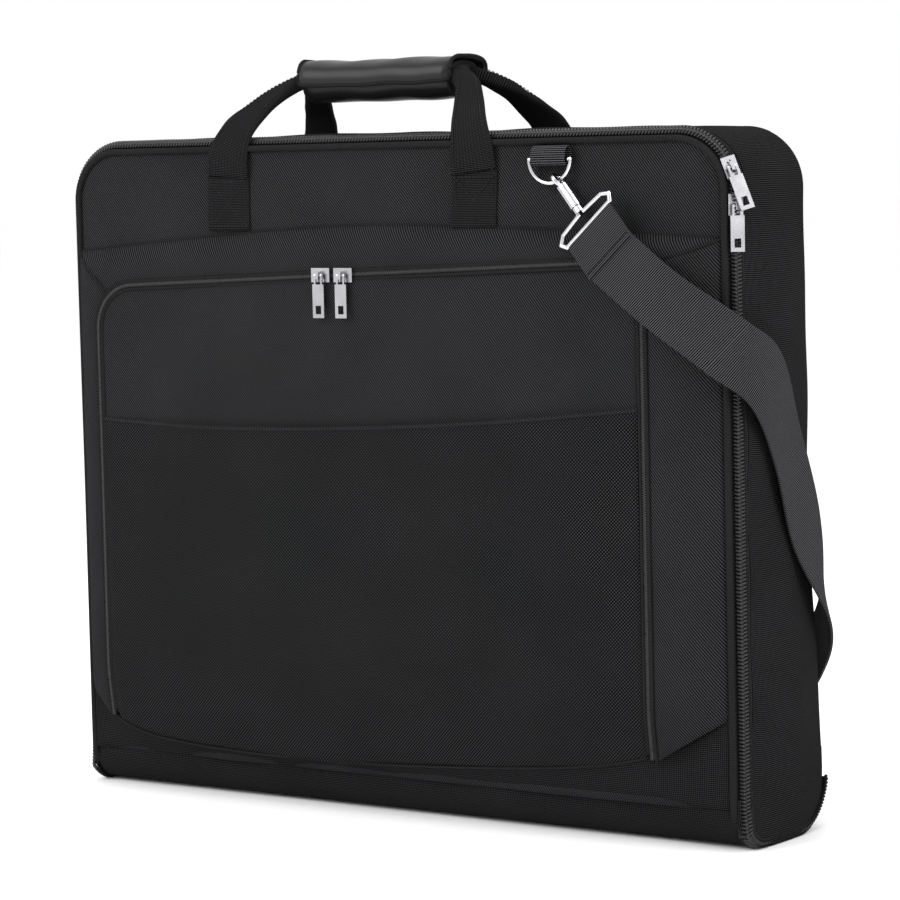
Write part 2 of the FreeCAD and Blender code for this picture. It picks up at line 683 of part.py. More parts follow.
def strap(front_clasp, rear_clasp):
    """One length of webbing, in the stretches that its ends and the two halves carry."""
    thick, width = size("strap_thickness"), size("strap_width")
    bar_at, way, across = front_clasp
    end_reach = 34.0
    leave = size("hook_wire") + 0.4
    front_end = ribbon([(bar_at + way * leave, across), (bar_at + way * end_reach, across)],
                       thick * 1.8, width)
    keep(shaped("front_end_shape", front_end), "strap_front_end")
    start = bar_at + way * (end_reach + 0.6)
    corner_y = -D / 2 - STRAP_CORNER_CLEAR
    corner_z = H - STRAP_CORNER_DROP
    over_corner = (0.62, 0.3, 0.7)
    front_run = [
        (start, across),
        (Vector(W / 2 - 46, -D / 2 - 29, H - 124), across),
        (Vector(W / 2, corner_y, corner_z), over_corner),
    ]
    keep(shaped("front_run_shape", ribbon(front_run, thick, width)), "strap_front")

    # out from the bag's right side, depth, share of the drop that is left, direction of the width
    fall = corner_z - STRAP_FLOOR
    side_run = [(Vector(W / 2 + 0.5, corner_y + 0.7, corner_z - 0.8), over_corner)]
    for out_x, y, share, wide in (
            (14, -D / 2 + 18, 0.928, (0.2, 0.66, 0.72)), (9, 0, 0.79, (0, 0.78, 0.6)),
            (8, D / 2 - 28, 0.61, (0, 0.9, 0.44)), (7, D / 2 + 5, 0.43, (-0.55, 0.75, 0.35)),
            (-14, D / 2 + 18, 0.315, (-0.72, 0.6, 0.35)), (-38, D / 2 + 26, 0.21, (-0.5, 0.86, 0.1)),
            (-62, D / 2 + 31, 0.12, (-0.1, 1, 0)), (-95, D / 2 + 33, 0.041, (0, 1, 0)),
            (-136, D / 2 + 34, 0, (0, 1, 0))):
        side_run.append((Vector(W / 2 + out_x, y, STRAP_FLOOR + share * fall), wide))
    keep(shaped("side_run_shape", ribbon(side_run, thick, width)), "strap_side")
    bar_at, way, across = rear_clasp
    hang_end = bar_at + way * end_reach
    rear_end = ribbon([(bar_at + way * leave, across), (hang_end, across)], thick * 1.8, width)
    keep(shaped("rear_end_shape", rear_end), "strap_rear_end")
    hang = bar_at + way * (end_reach + 0.6)
    down = Vector(hang.x + 26, D / 2 + 22, hang.z - 105)
    rear_run = [
        (Vector(W / 2 - 136.6, D / 2 + 34, STRAP_FLOOR - 0.2), (0, 1, 0)),
        (Vector(W / 2 - 190, D / 2 + 34, 3), (0, 1, 0)),
        (Vector(down.x + 140, D / 2 + 34, 3), (0, 1, 0)),
        (Vector(down.x + 94, D / 2 + 34, 8), (0, 1, 0)),
        (Vector(down.x + 58, D / 2 + 34, 30), (0, 1, 0)),
        (Vector(down.x + 34, D / 2 + 33, 68), (0.05, 1, 0)),
        (Vector(down.x + 20, D / 2 + 32, 130), (0.3, 0.95, 0)),
        (Vector(down.x + 10, D / 2 + 28, 215), (0.8, 0.6, 0)),
        (down, across),
        (hang, across),
    ]
    keep(shaped("rear_run_shape", ribbon(rear_run, thick, width)), "strap_rear")
    adjuster(hang, down, across)


def adjuster(hang, down, across):
    """Three-bar slide on the straight stretch below the rear clasp."""
    way = down - hang
    way.normalize()
    face = across.cross(way)
    width, tall = size("strap_width") + 8, 26.0
    opening = size("strap_width") + 1.6
    frame = Part.makeBox(tall, width, 7.0, Vector(-tall / 2, -width / 2, -3.5))
    window = Part.makeBox(tall + 2, opening, size("strap_thickness") + 1.0,
                          Vector(-tall / 2 - 1, -opening / 2, -size("strap_thickness") / 2 - 0.5))
    slots = [Part.makeBox(8, opening, 9, Vector(x, -opening / 2, -4.5)) for x in (-10.0, 2.0)]
    shape = frame.cut(window).cut(slots[0]).cut(slots[1])
    keep(shaped("adjuster_shape", oriented(shape, hang + way * 24, way, face)), "strap_adjuster")


# ---------------------------------------------------------------- inside the back half

def inside():
    layers = size("board_thickness") + size("lining_thickness") + 3 * gap
    lining = D / 2 - size("panel_thickness") - 1 - layers
    width, height, depth = size("clamp_width"), size("clamp_height"), size("clamp_depth")
    top = H - size("corner_radius") + 6
    wall = 2.5
    outer = Part.makeBox(width, depth, height, Vector(-width / 2, lining - depth, top - height))
    hollow = Part.makeBox(width - 2 * wall, depth, height + 2,
                          Vector(-width / 2 + wall, lining - depth - wall, top - height - 1))
    pin_y, pin_z = lining - depth + 5, top - 5
    bore = Part.makeCylinder(1.7, width + 2, Vector(-width / 2 - 1, pin_y, pin_z), AXIS_X)
    keep(shaped("clamp_cheeks", outer.cut(hollow).cut(bore)), "hanger_clamp_base")
    pin = Part.makeCylinder(1.5, width, Vector(-width / 2, pin_y, pin_z), AXIS_X)
    lever_width = width - 2 * wall - 1.6
    lever = Part.makeBox(lever_width, 3, height - 8, Vector(-lever_width / 2, pin_y - 1.5, top - height + 4))
    keep(shaped("clamp_bar", pin.fuse(lever).removeSplitter()), "hanger_clamp_bar")
    straps = []
    side = W / 2 - size("gusset_wall") - 0.3
    across = size("garment_strap_width")
    for foot in (0.28 * H, 0.58 * H):
        flat = Part.makeBox(2 * side, 1.4, across, Vector(-side, lining - 16, foot))
        straps.append(flat)
    keep(shaped("garment_strap_pair", Part.makeCompound(straps)), "garment_straps")


back_half()
bottom_fold()
perimeter_zip()
front_half()
pocket_face = pocket()
main_sliders()
pocket_sliders(pocket_face)
handle_patches(-1, "front_handle_patches")
handle_patches(1, "rear_handle_patches")
handle(-1, "front_handle")
handle(1, "rear_handle")
handle_wrap()
ring_tab(-1, "front_ring_tab")
ring_tab(1, "rear_ring_tab")
strap(ring_and_clasp(-1, "front"), ring_and_clasp(1, "rear"))
inside()
doc.recompute()

# ---------------------------------------------------------------- check and write

for item in doc.Objects:
    if "Invalid" in item.State or "Error" in item.State:
        raise SystemExit(f"{item.Label} did not build: {item.State}")
for item in nodes:
    if item.Shape.isNull() or not item.Shape.isValid() or not item.Shape.Solids:
        raise SystemExit(f"{item.Label} has no sound solid")
for item in nodes:
    item.Shape.exportStep(f"parts/{item.Label}.step")
    box = item.Shape.BoundBox
    print(f"{item.Label:26s} {len(item.Shape.Solids)} {item.Shape.Volume:10.0f}"
          f"  x {box.XMin:7.1f} {box.XMax:7.1f}  y {box.YMin:7.1f} {box.YMax:7.1f}"
          f"  z {box.ZMin:7.1f} {box.ZMax:7.1f}")
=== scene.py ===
"""Looks of a folding garment bag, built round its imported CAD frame.

Lengths are in millimetres in this script and turned to metres where a mesh is made.
+X is to the right of someone facing the front pocket, +Y to the back, +Z up.
"""
import math

import bmesh
import bpy
import numpy as np
from mathutils import Matrix, Vector


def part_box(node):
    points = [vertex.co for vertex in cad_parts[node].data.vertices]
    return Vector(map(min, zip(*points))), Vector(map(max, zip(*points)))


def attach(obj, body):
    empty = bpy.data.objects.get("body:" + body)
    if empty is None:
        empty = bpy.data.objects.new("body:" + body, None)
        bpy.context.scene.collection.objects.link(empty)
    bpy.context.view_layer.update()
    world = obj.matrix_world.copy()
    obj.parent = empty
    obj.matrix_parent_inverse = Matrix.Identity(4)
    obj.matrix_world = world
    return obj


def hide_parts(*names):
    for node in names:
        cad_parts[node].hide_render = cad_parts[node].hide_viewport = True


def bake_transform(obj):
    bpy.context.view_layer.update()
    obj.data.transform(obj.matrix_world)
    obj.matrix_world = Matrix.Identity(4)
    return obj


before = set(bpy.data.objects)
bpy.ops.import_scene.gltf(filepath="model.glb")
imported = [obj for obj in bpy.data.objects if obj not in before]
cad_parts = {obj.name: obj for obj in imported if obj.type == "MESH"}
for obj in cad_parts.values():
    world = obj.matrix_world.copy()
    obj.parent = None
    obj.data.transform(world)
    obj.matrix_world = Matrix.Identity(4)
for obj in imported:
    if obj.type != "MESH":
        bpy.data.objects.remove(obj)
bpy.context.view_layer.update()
MM = 0.001


# ---- places, from the frame

def box_mm(node):
    """Lowest and highest corner of a CAD node, in millimetres."""
    low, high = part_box(node)
    return np.array(low) / MM, np.array(high) / MM


BACK_LOW, BACK_HIGH = box_mm("back_panel")
FRONT_LOW, FRONT_HIGH = box_mm("front_panel")
DOOR_LOW, DOOR_HIGH = box_mm("pocket_door")
RIM_LOW, RIM_HIGH = box_mm("pocket_gusset")
HALF = BACK_HIGH[0]                 # half the bag's width
TOP = BACK_HIGH[2]                  # height of the bag's top
BACK = BACK_HIGH[1]                 # y of the back face
FRONT = FRONT_LOW[1]                # y of the front face
CORNER = 48.0                       # radius of the bag's upper corners
FRONT_BEND, REAR_BEND = 30.0, 45.0  # radii of the fold's two bends
ZIP_INSET, ZIP_Y = 3.25, FRONT + 6.25
WELT_INSET = 8.6
RIM_Y = RIM_LOW[1]                  # y of the raised pocket's rim
BACK_INSET = 9.0                    # margin of the back cloth inside the outline
BACK_ROUND = 12.0                   # radius of the roll from the wall into the back
MAIN_COIL = (2.75, 3.9, 1.5)        # pitch, reach and height of the main zip's coils
POCKET_COIL = (1.9, 2.0, 1.0)       # the same for the pocket's zip
ARC_MIDDLE = 0.29                   # share of a corner's radius that its middle lies in from the corner


# ---- number helpers

def smooth(t):
    t = np.clip(t, 0, 1)
    return t * t * (3 - 2 * t)


def ripple(a, b, seed, wave=90.0, count=7):
    """Smooth uneven field of about unit size over two coordinates; the same for the same seed."""
    draw = np.random.default_rng(seed)
    total = np.zeros(np.broadcast(a, b).shape)
    for _ in range(count):
        turn = draw.uniform(0, math.pi)
        pitch = wave * draw.uniform(0.5, 1.6)
        shift = draw.uniform(0, 2 * math.pi)
        total = total + np.sin((a * math.cos(turn) + b * math.sin(turn)) * 2 * math.pi / pitch + shift)
    return total / math.sqrt(count)


def spline(points, count):
    """Evenly spaced points on a Catmull-Rom curve through the given points."""
    p = np.array(points, float)
    p = np.vstack([2 * p[0] - p[1], p, 2 * p[-1] - p[-2]])
    out = []
    for k in range(1, len(p) - 2):
        for t in np.linspace(0, 1, 24, endpoint=False):
            a = 2 * p[k]
            b = p[k + 1] - p[k - 1]
            c = 2 * p[k - 1] - 5 * p[k] + 4 * p[k + 1] - p[k + 2]
            d = -p[k - 1] + 3 * p[k] - 3 * p[k + 1] + p[k + 2]
            out.append(0.5 * (a + b * t + c * t * t + d * t ** 3))
    out.append(p[-2])
    return even(np.array(out), count)


def xyz(x, y, z):
    """Points in space from their coordinates, any of which may be one number."""
    return np.stack(np.broadcast_arrays(x, y, z), -1)


def run(points):
    """Distance along a path at each of its points."""
    step = np.linalg.norm(np.diff(points, axis=0), axis=1)
    return np.concatenate([[0], np.cumsum(step)])


def even(points, count, *more):
    """A path resampled at even steps, and with it any arrays that go along it."""
    points = np.asarray(points, float)
    s = run(points)
    t = np.linspace(0, s[-1], count)
    out = [np.stack([np.interp(t, s, a[:, k]) for k in range(a.shape[1])], 1) for a in (points,) + more]
    return out[0] if not more else out


def nearest(points, spot):
    """Index of the point that is nearest to a spot."""
    return int(np.argmin(np.linalg.norm(points - np.array(spot), axis=1)))


def unit(v):
    v = np.asarray(v, float)
    return v / np.maximum(np.linalg.norm(v, axis=-1, keepdims=True), 1e-9)


def tangents(path, closed=False):
    if closed:
        return unit(np.roll(path, -1, 0) - np.roll(path, 1, 0))
    return unit(np.gradient(path, axis=0))


# ---- mesh helpers

def add_object(name, data):
    item = bpy.data.objects.new(name, data)
    bpy.context.scene.collection.objects.link(item)
    return item


def finish_mesh(name, verts, faces, uv, material):
    """Object from millimetre points; uv holds one pair per face corner, in metres."""
    mesh = bpy.data.meshes.new(name)
    mesh.from_pydata((np.asarray(verts, float) * MM).tolist(), [], faces)
    layer = mesh.uv_layers.new(name="UVMap")
    layer.data.foreach_set("uv", np.asarray(uv, np.float32).ravel())
    mesh.update()
    mesh.shade_smooth()
    mesh.materials.append(material)
    return add_object(name, mesh)


def grid(name, p, material, wrap=False, caps=False, flip=False):
    """Surface from an (n, m, 3) array of points.

    wrap joins the last column to the first, and caps closes the tube that this makes.
    """
    n, m = p.shape[:2]
    along = run(p[:, m // 2])
    ring = np.concatenate([p, p[:, :1]], 1) if wrap else p
    across = run(ring[n // 2])
    last = m if wrap else m - 1
    faces, uv = [], []
    for i in range(n - 1):
        for j in range(last):
            k = (j + 1) % m
            quad = [i * m + j, i * m + k, (i + 1) * m + k, (i + 1) * m + j]
            corner = [(across[j], along[i]), (across[j + 1], along[i]),
                      (across[j + 1], along[i + 1]), (across[j], along[i + 1])]
            faces.append(quad[::-1] if flip else quad)
            uv += corner[::-1] if flip else corner
    if caps:
        for row, order in ((0, -1), (n - 1, 1)):
            ends = [row * m + j for j in range(m)][::order if not flip else -order]
            faces.append(ends)
            uv += [(across[j % m], 0) for j in ends]
    return finish_mesh(name, p.reshape(-1, 3), faces, np.array(uv) * MM, material)


def ring_section(radius_a, radius_b=None, count=12, power=2.0):
    """Closed section: a circle, an ellipse, or with a higher power a rounded rectangle."""
    radius_b = radius_a if radius_b is None else radius_b
    t = np.linspace(0, 2 * math.pi, count, endpoint=False)
    c, s = np.cos(t), np.sin(t)
    e = 2.0 / power
    return np.stack([radius_a * np.sign(c) * np.abs(c) ** e, radius_b * np.sign(s) * np.abs(s) ** e], 1)


def frames(path, hint, closed=False):
    """Side and out directions along a path, out kept near the hint (one vector or one for each point)."""
    t = tangents(path, closed)
    hint = np.broadcast_to(np.asarray(hint, float), path.shape)
    out = unit(hint - t * np.sum(hint * t, 1, keepdims=True))
    return np.cross(t, out), out


def sweep(name, path, section, material, hint=(0, -1, 0), closed=False, sizes=None):
    """Section (side, out) carried along a path. sizes scales it at each point."""
    side, out = frames(path, hint, closed)
    sizes = np.ones((len(path), 2)) if sizes is None else np.asarray(sizes, float)
    a = section[None, :, 0, None] * sizes[:, None, 0:1]
    b = section[None, :, 1, None] * sizes[:, None, 1:2]
    p = path[:, None] + side[:, None] * a + out[:, None] * b
    if closed:
        p = np.concatenate([p, p[:1]], 0)
    item = grid(name, p, material, wrap=True, caps=not closed)
    if closed:
        weld(item)
    return item


def weld(item):
    """Join the points that lie on each other."""
    work = bmesh.new()
    work.from_mesh(item.data)
    bmesh.ops.remove_doubles(work, verts=work.verts, dist=0.01 * MM)
    work.to_mesh(item.data)
    work.free()


def tube(name, path, radius, material, count=10, closed=False, hint=(0, -1, 0)):
    return sweep(name, path, ring_section(radius, count=count), material, hint, closed)


def piping(name, path, radius, body, count=10, closed=False, hint=(0, -1, 0)):
    place(tube(name, path, radius, BINDING, count, closed, hint), body)


def copies(name, base_verts, base_faces, at, x_way, y_way, z_way, material):
    """One mesh of many copies of a small piece, each at its own place with its own three directions."""
    base = np.asarray(base_verts, float)
    p = (at[:, None] + base[None, :, 0:1] * x_way[:, None] + base[None, :, 1:2] * y_way[:, None]
         + base[None, :, 2:3] * z_way[:, None])
    n = len(base)
    faces = [[i * n + k for k in face] for i in range(len(at)) for face in base_faces]
    return finish_mesh(name, p.reshape(-1, 3), faces, np.zeros((sum(map(len, faces)), 2)), material)


def bar_piece(stations, radii, sides=6):
    """Closed low-resolution bar through the stations, as points and faces."""
    stations = np.array(stations, float)
    side, out = frames(stations, (0, 0, 1) if abs(tangents(stations)[0][2]) < 0.9 else (1, 0, 0))
    points, faces = [], []
    for k, (centre, radius) in enumerate(zip(stations, radii)):
        for j in range(sides):
            t = 2 * math.pi * j / sides
            points.append(centre + side[k] * radius * math.cos(t) + out[k] * radius * math.sin(t))
    for k in range(len(stations) - 1):
        for j in range(sides):
            i = (j + 1) % sides
            faces.append([k * sides + j, k * sides + i, (k + 1) * sides + i, (k + 1) * sides + j])
    faces.append(list(range(sides))[::-1])
    faces.append([(len(stations) - 1) * sides + j for j in range(sides)])
    return points, faces


def flat_weave(item):
    """Lay the weave straight over an upright piece, however its grid runs."""
    mesh = item.data
    at = np.array([v.co for v in mesh.vertices])
    corner = np.empty(len(mesh.loops), np.int32)
    mesh.loops.foreach_get("vertex_index", corner)
    mesh.uv_layers[0].data.foreach_set("uv", at[corner][:, [0, 2]].astype(np.float32).ravel())
    return item


def upright_cloth(name, p, material, thickness, flip=False):
    """Cloth of an upright face, with its weave laid straight over it."""
    item = flat_weave(grid(name, p, material, flip=flip))
    solid(item, thickness)
    return item


def solid(item, thickness):
    """Give a cloth surface its thickness, inwards."""
    change = item.modifiers.new("thickness", "SOLIDIFY")
    change.thickness = thickness * MM
    change.offset = -1.0


def bevelled(item, width):
    """Round a hard part's edges."""
    change = item.modifiers.new("round", "BEVEL")
    change.width = width * MM
    change.segments = 3
    change.limit_method = "ANGLE"
    change.angle_limit = math.radians(30)


def place(item, body, replaced=()):
    """Fix a piece to a body and hide the CAD nodes that it stands for."""
    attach(item, body)
    if replaced:
        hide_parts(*replaced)
    return item


# ---- materials

class Nodes:
    """Short names for building one material's node tree."""

    def __init__(self, name):
        self.material = bpy.data.materials.new(name)
        self.material.use_nodes = True
        self.tree = self.material.node_tree
        self.shader = self.tree.nodes["Principled BSDF"]
        uv = self.tree.nodes.new("ShaderNodeUVMap")
        split = self.tree.nodes.new("ShaderNodeSeparateXYZ")
        self.link(uv.outputs[0], split.inputs[0])
        self.u, self.v = split.outputs[0], split.outputs[1]
        self.spot = self.tree.nodes.new("ShaderNodeTexCoord").outputs["Object"]

    def link(self, a, b):
        self.tree.links.new(a, b)

    def feed(self, socket, value):
        self.link(value, self.shader.inputs[socket])

    def math(self, op, a, b=None, c=None):
        node = self.tree.nodes.new("ShaderNodeMath")
        node.operation = op
        for k, value in enumerate((a, b, c)):
            if value is None:
                continue
            if isinstance(value, (int, float)):
                node.inputs[k].default_value = value
            else:
                self.link(value, node.inputs[k])
        return node.outputs[0]

    def mix(self, a, b, share):
        """A share of a, and the rest of b."""
        return self.math("ADD", self.math("MULTIPLY", a, share), self.math("MULTIPLY", b, 1 - share))

    def vary(self, value, amount, base):
        """base, moved up and down by half the amount as the value goes from 0 to 1."""
        return self.math("MULTIPLY_ADD", self.math("SUBTRACT", value, 0.5), amount, base)

    def wave(self, value, pitch_mm):
        """0 to 1 and back once for each pitch."""
        turned = self.math("MULTIPLY", value, 2 * math.pi / (pitch_mm * MM))
        return self.math("MULTIPLY_ADD", self.math("SINE", turned), 0.5, 0.5)

    def noise(self, scale, detail=3.0):
        node = self.tree.nodes.new("ShaderNodeTexNoise")
        node.inputs["Scale"].default_value = scale
        node.inputs["Detail"].default_value = detail
        self.link(self.spot, node.inputs["Vector"])
        return node.outputs["Fac"]

    def ramp(self, value, stops):
        node = self.tree.nodes.new("ShaderNodeValToRGB")
        for k, (spot, colour) in enumerate(stops):
            if k > 1:
                node.color_ramp.elements.new(spot)
            node.color_ramp.elements[k].position = spot
            node.color_ramp.elements[k].color = (*colour, 1)
        self.link(value, node.inputs[0])
        return node.outputs[0]

    def bump(self, height, distance_mm, strength=1.0):
        node = self.tree.nodes.new("ShaderNodeBump")
        node.inputs["Distance"].default_value = distance_mm * MM
        node.inputs["Strength"].default_value = strength
        self.link(height, node.inputs["Height"])
        self.link(node.outputs[0], self.shader.inputs["Normal"])

    def set(self, **values):
        for key, value in values.items():
            self.shader.inputs[key.replace("_", " ")].default_value = value
        return self


def cloth(name, tone, weave, pitch, depth, contrast=0.5, rough=0.62, sheen=0.25, wear=0.2,
          shine=0.0):
    """Woven cloth. tone is its linear grey; weave names how the yarns cross."""
    n = Nodes(name)
    if weave == "twill":
        ridge = n.wave(n.math("ADD", n.u, n.math("MULTIPLY", n.v, 0.8)), pitch)
        yarn = n.wave(n.math("SUBTRACT", n.u, n.v), pitch * 0.62)
        height = n.mix(ridge, yarn, 0.75)
    elif weave == "basket":
        over = n.math("ABSOLUTE", n.math("SUBTRACT", n.wave(n.u, pitch), n.wave(n.v, pitch)))
        slant = n.wave(n.math("ADD", n.u, n.v), pitch * 0.5)
        height = n.mix(over, slant, 0.8)
    elif weave == "rib":
        height = n.mix(n.wave(n.v, pitch), n.wave(n.u, pitch * 0.8), 0.8)
    else:
        height = n.math("MULTIPLY", n.wave(n.u, pitch), n.wave(n.v, pitch))
    fuzz = n.noise(1600.0, 2.0)
    cloud = n.noise(14.0, 4.0)
    value = n.vary(height, contrast * 2.1, 0.95)
    value = n.math("MULTIPLY", value, n.vary(fuzz, 0.5, 1.0))
    value = n.math("MULTIPLY", value, n.vary(cloud, wear, 1.0))
    value = n.math("POWER", n.math("MULTIPLY", n.math("MAXIMUM", value, 0.0), 0.5), 2.1)
    high = tuple(c * 5.4 for c in tone)
    n.feed("Base Color", n.ramp(value, [(0.0, (0, 0, 0)), (1.0, high)]))
    n.feed("Roughness", n.vary(cloud, 0.25, rough))
    n.bump(n.math("MULTIPLY_ADD", fuzz, 0.25, height), depth)
    n.set(Sheen_Weight=sheen * 0.04, Sheen_Roughness=0.4, Specular_IOR_Level=shine)
    return n.material


def metal(name, tone, rough=0.18):
    n = Nodes(name)
    smudge = n.noise(70.0, 4.0)
    grain = n.noise(900.0, 2.0)
    n.feed("Base Color", n.ramp(smudge, [(0.3, tuple(c * 0.86 for c in tone)), (0.7, tone)]))
    n.feed("Roughness", n.math("MULTIPLY_ADD", smudge, 0.16, rough - 0.06))
    n.bump(grain, 0.02, 0.3)
    return n.set(Metallic=1.0).material


def plastic(name, tone, rough=0.4, shine=0.5):
    n = Nodes(name)
    mottle = n.noise(240.0, 3.0)
    dark, light = (tuple(c * share for c in tone) for share in (0.8, 1.15))
    n.feed("Base Color", n.ramp(mottle, [(0.3, dark), (0.7, light)]))
    n.feed("Roughness", n.math("MULTIPLY_ADD", mottle, 0.2, rough - 0.1))
    n.bump(mottle, 0.03, 0.4)
    return n.set(Specular_IOR_Level=shine).material


def grey(value, blue=1.06):
    return (value, value, value * blue)


TWILL = cloth("twill cloth", grey(0.0135), "twill", 2.2, 0.5, contrast=0.75)
BALLISTIC = cloth("ballistic cloth", grey(0.0135), "basket", 2.7, 0.8, contrast=1.0, sheen=0.2)
PLAIN = cloth("fine gusset cloth", grey(0.0175), "plain", 1.5, 0.25, contrast=0.5)
BINDING = cloth("binding tape", grey(0.012), "rib", 1.2, 0.08, contrast=0.3, sheen=0.3)
WEBBING = cloth("shoulder webbing", grey(0.017), "rib", 1.6, 0.45, contrast=1.3, rough=0.5, sheen=0.35)
TAPE = cloth("zip tape", grey(0.014), "rib", 0.9, 0.08, contrast=0.4)
HANDLE = cloth("handle webbing", grey(0.0085), "rib", 1.3, 0.14, contrast=0.6)
SATIN = cloth("wrap cloth", grey(0.009), "plain", 0.9, 0.05, contrast=0.25, rough=0.36, wear=0.15, shine=0.22)
LINING = cloth("lining cloth", grey(0.05), "plain", 0.9, 0.05, contrast=0.25, rough=0.4, sheen=0.1)
ELASTIC = cloth("elastic band", grey(0.03), "rib", 1.1, 0.14, contrast=0.6)
THREAD = plastic("thread", grey(0.016), 0.6, 0.1)
COIL = plastic("zip coil", grey(0.010), 0.3, 0.3)
NICKEL = metal("nickel slider", (0.50, 0.50, 0.52), 0.2)
CHROME = metal("polished clasp", (0.62, 0.62, 0.64), 0.14)
BOARD = plastic("stiffener board", grey(0.10), 0.5)


# ---- outlines of the bag

def arch(inset, foot, step=6.0):
    """(x, z) points and outward directions along the bag's outline, over the top between its feet."""
    radius = CORNER - inset
    cx, cz = HALF - CORNER, TOP - CORNER
    points, normals = [], []
    leg = max(2, int((cz - foot) / step))
    turn = max(6, int(radius * 1.57 / (step * 0.6)))
    for z in np.linspace(foot, cz, leg, endpoint=False):
        points.append((-HALF + inset, z))
        normals.append((-1, 0))
    for t in np.linspace(math.pi, math.pi / 2, turn, endpoint=False):
        points.append((-cx + radius * math.cos(t), cz + radius * math.sin(t)))
        normals.append((math.cos(t), math.sin(t)))
    for x in np.linspace(-cx, cx, max(2, int(2 * cx / step)), endpoint=False):
        points.append((x, TOP - inset))
        normals.append((0, 1))
    for t in np.linspace(math.pi / 2, 0, turn, endpoint=False):
        points.append((cx + radius * math.cos(t), cz + radius * math.sin(t)))
        normals.append((math.cos(t), math.sin(t)))
    for z in np.linspace(cz, foot, leg + 1):
        points.append((HALF - inset, z))
        normals.append((1, 0))
    return np.array(points), np.array(normals, float)


def fold_height(y):
    """Height of the bent bottom at a depth: front bend, flat foot, rear bend."""
    y = np.asarray(y, float)
    fore = FRONT + FRONT_BEND
    rear = BACK - REAR_BEND
    a = np.clip(fore - y, 0, FRONT_BEND)
    b = np.clip(y - rear, 0, REAR_BEND)
    return FRONT_BEND - np.sqrt(FRONT_BEND ** 2 - a ** 2) + REAR_BEND - np.sqrt(REAR_BEND ** 2 - b ** 2)


SIDE_LEAN = 9.0                     # how far the sides stand out at the foot


def lean(p):
    """The soft sides stand out a little towards the bag's foot, most of all at the back."""
    p = np.array(p, float)
    low = smooth((300 - p[..., 2]) / 280)
    side = smooth((np.abs(p[..., 0]) - 120) / 180) * np.sign(p[..., 0])
    back = 0.1 + 0.9 * smooth((p[..., 1] + 60) / 120)
    p[..., 0] += side * low * back * SIDE_LEAN
    return p


def upright(p, y):
    """Points in space from (x, z) points and their depth, leaning like the bag's sides."""
    return lean(xyz(p[..., 0], y, p[..., 1]))


def outline_half_width(z, inset):
    """Half width of the outline at a height, rounded at the top."""
    radius = CORNER - inset
    rise = np.clip(z - (TOP - CORNER), 0, radius)
    return HALF - CORNER + np.sqrt(np.maximum(radius ** 2 - rise ** 2, 0))


def from_edge(x, z, inset):
    """Distance in from the bag's outline, beyond a margin."""
    return np.minimum(outline_half_width(z, inset) - np.abs(x), TOP - inset - z)


def swell(edge, height, reach):
    """Rise of padded cloth: nearly its whole height a few reaches from its edge."""
    return height * (1 - np.exp(-np.clip(edge, 0, 400) / reach))


def face_grid(foot, top, inset, step, depth):
    """Points of an upright face between two heights; depth gives y at each (x, z)."""
    rows = int((top - foot) / step)
    cols = int(2 * HALF / step)
    u = np.linspace(0, 1, rows)
    z = foot + (top - foot) * u
    turned = CORNER * np.sin((z - top + CORNER) / CORNER * math.pi / 2)
    z = np.where(z > top - CORNER, top - CORNER + turned, z)
    t = np.linspace(-1, 1, cols)
    half = outline_half_width(np.minimum(z, TOP - inset), inset)
    x = t[None, :] * half[:, None]
    zz = np.repeat(z[:, None], cols, 1)
    return lean(xyz(x, depth(x, zz), zz))


# ---- gusset, back and fold

def gusset():
    """One wall round the left side, top and right side, rounded over into the back."""
    start, turn = ZIP_Y + 4.6, BACK - BACK_ROUND
    shoulder = TOP - CORNER
    # how far each row stands out, its depth and how loose it is
    section = [(-1.0, start, 0.0)]
    for y in np.linspace(start + 3, turn, 17):
        section.append((2.6 * math.sin(math.pi * (y - start) / (turn - start)), y, 1.0))
    for t in np.linspace(0, math.pi / 2, 7)[1:]:
        section.append((-10 * (1 - math.cos(t)), turn + BACK_ROUND * math.sin(t), 0.4))
    out, normal = arch(0, 0, 6.0)
    rows = []
    distance = run(out)
    for reach, y, loose in section:
        foot = fold_height(min(y, BACK - 1))
        z = np.where(out[:, 1] < shoulder, foot + out[:, 1] * (shoulder - foot) / shoulder, out[:, 1])
        wave = ripple(distance, np.full_like(distance, y), 11, 150) * 1.5 * loose
        give = (reach + wave) * np.where(np.abs(normal[:, 1]) > 0.9, 0.5, 1.0)
        rows.append(xyz(out[:, 0] + normal[:, 0] * give, y, z + normal[:, 1] * give))
    p = np.stack(rows, 1)
    item = grid("gusset_cloth", lean(p), PLAIN, flip=True)
    solid(item, 2.0)
    place(item, "back_half", ["gusset", "main_zip_rear_chain"])


def back_panel():
    def depth(x, z):
        edge = from_edge(x, z, BACK_INSET)
        return BACK + swell(edge, 3.5, 45) + 0.8 * ripple(x, z, 5, 160) * smooth(edge / 60)

    p = face_grid(REAR_BEND, TOP - BACK_INSET, BACK_INSET, 7.0, depth)
    item = grid("back_cloth", p, TWILL, flip=True)
    solid(item, 2.0)
    place(item, "back_half", ["back_panel"])
    edge, _ = arch(9.5, REAR_BEND)
    piping("back_piping", upright(edge, BACK + 0.8), 1.7, "back_half", hint=(0, 1, 0))


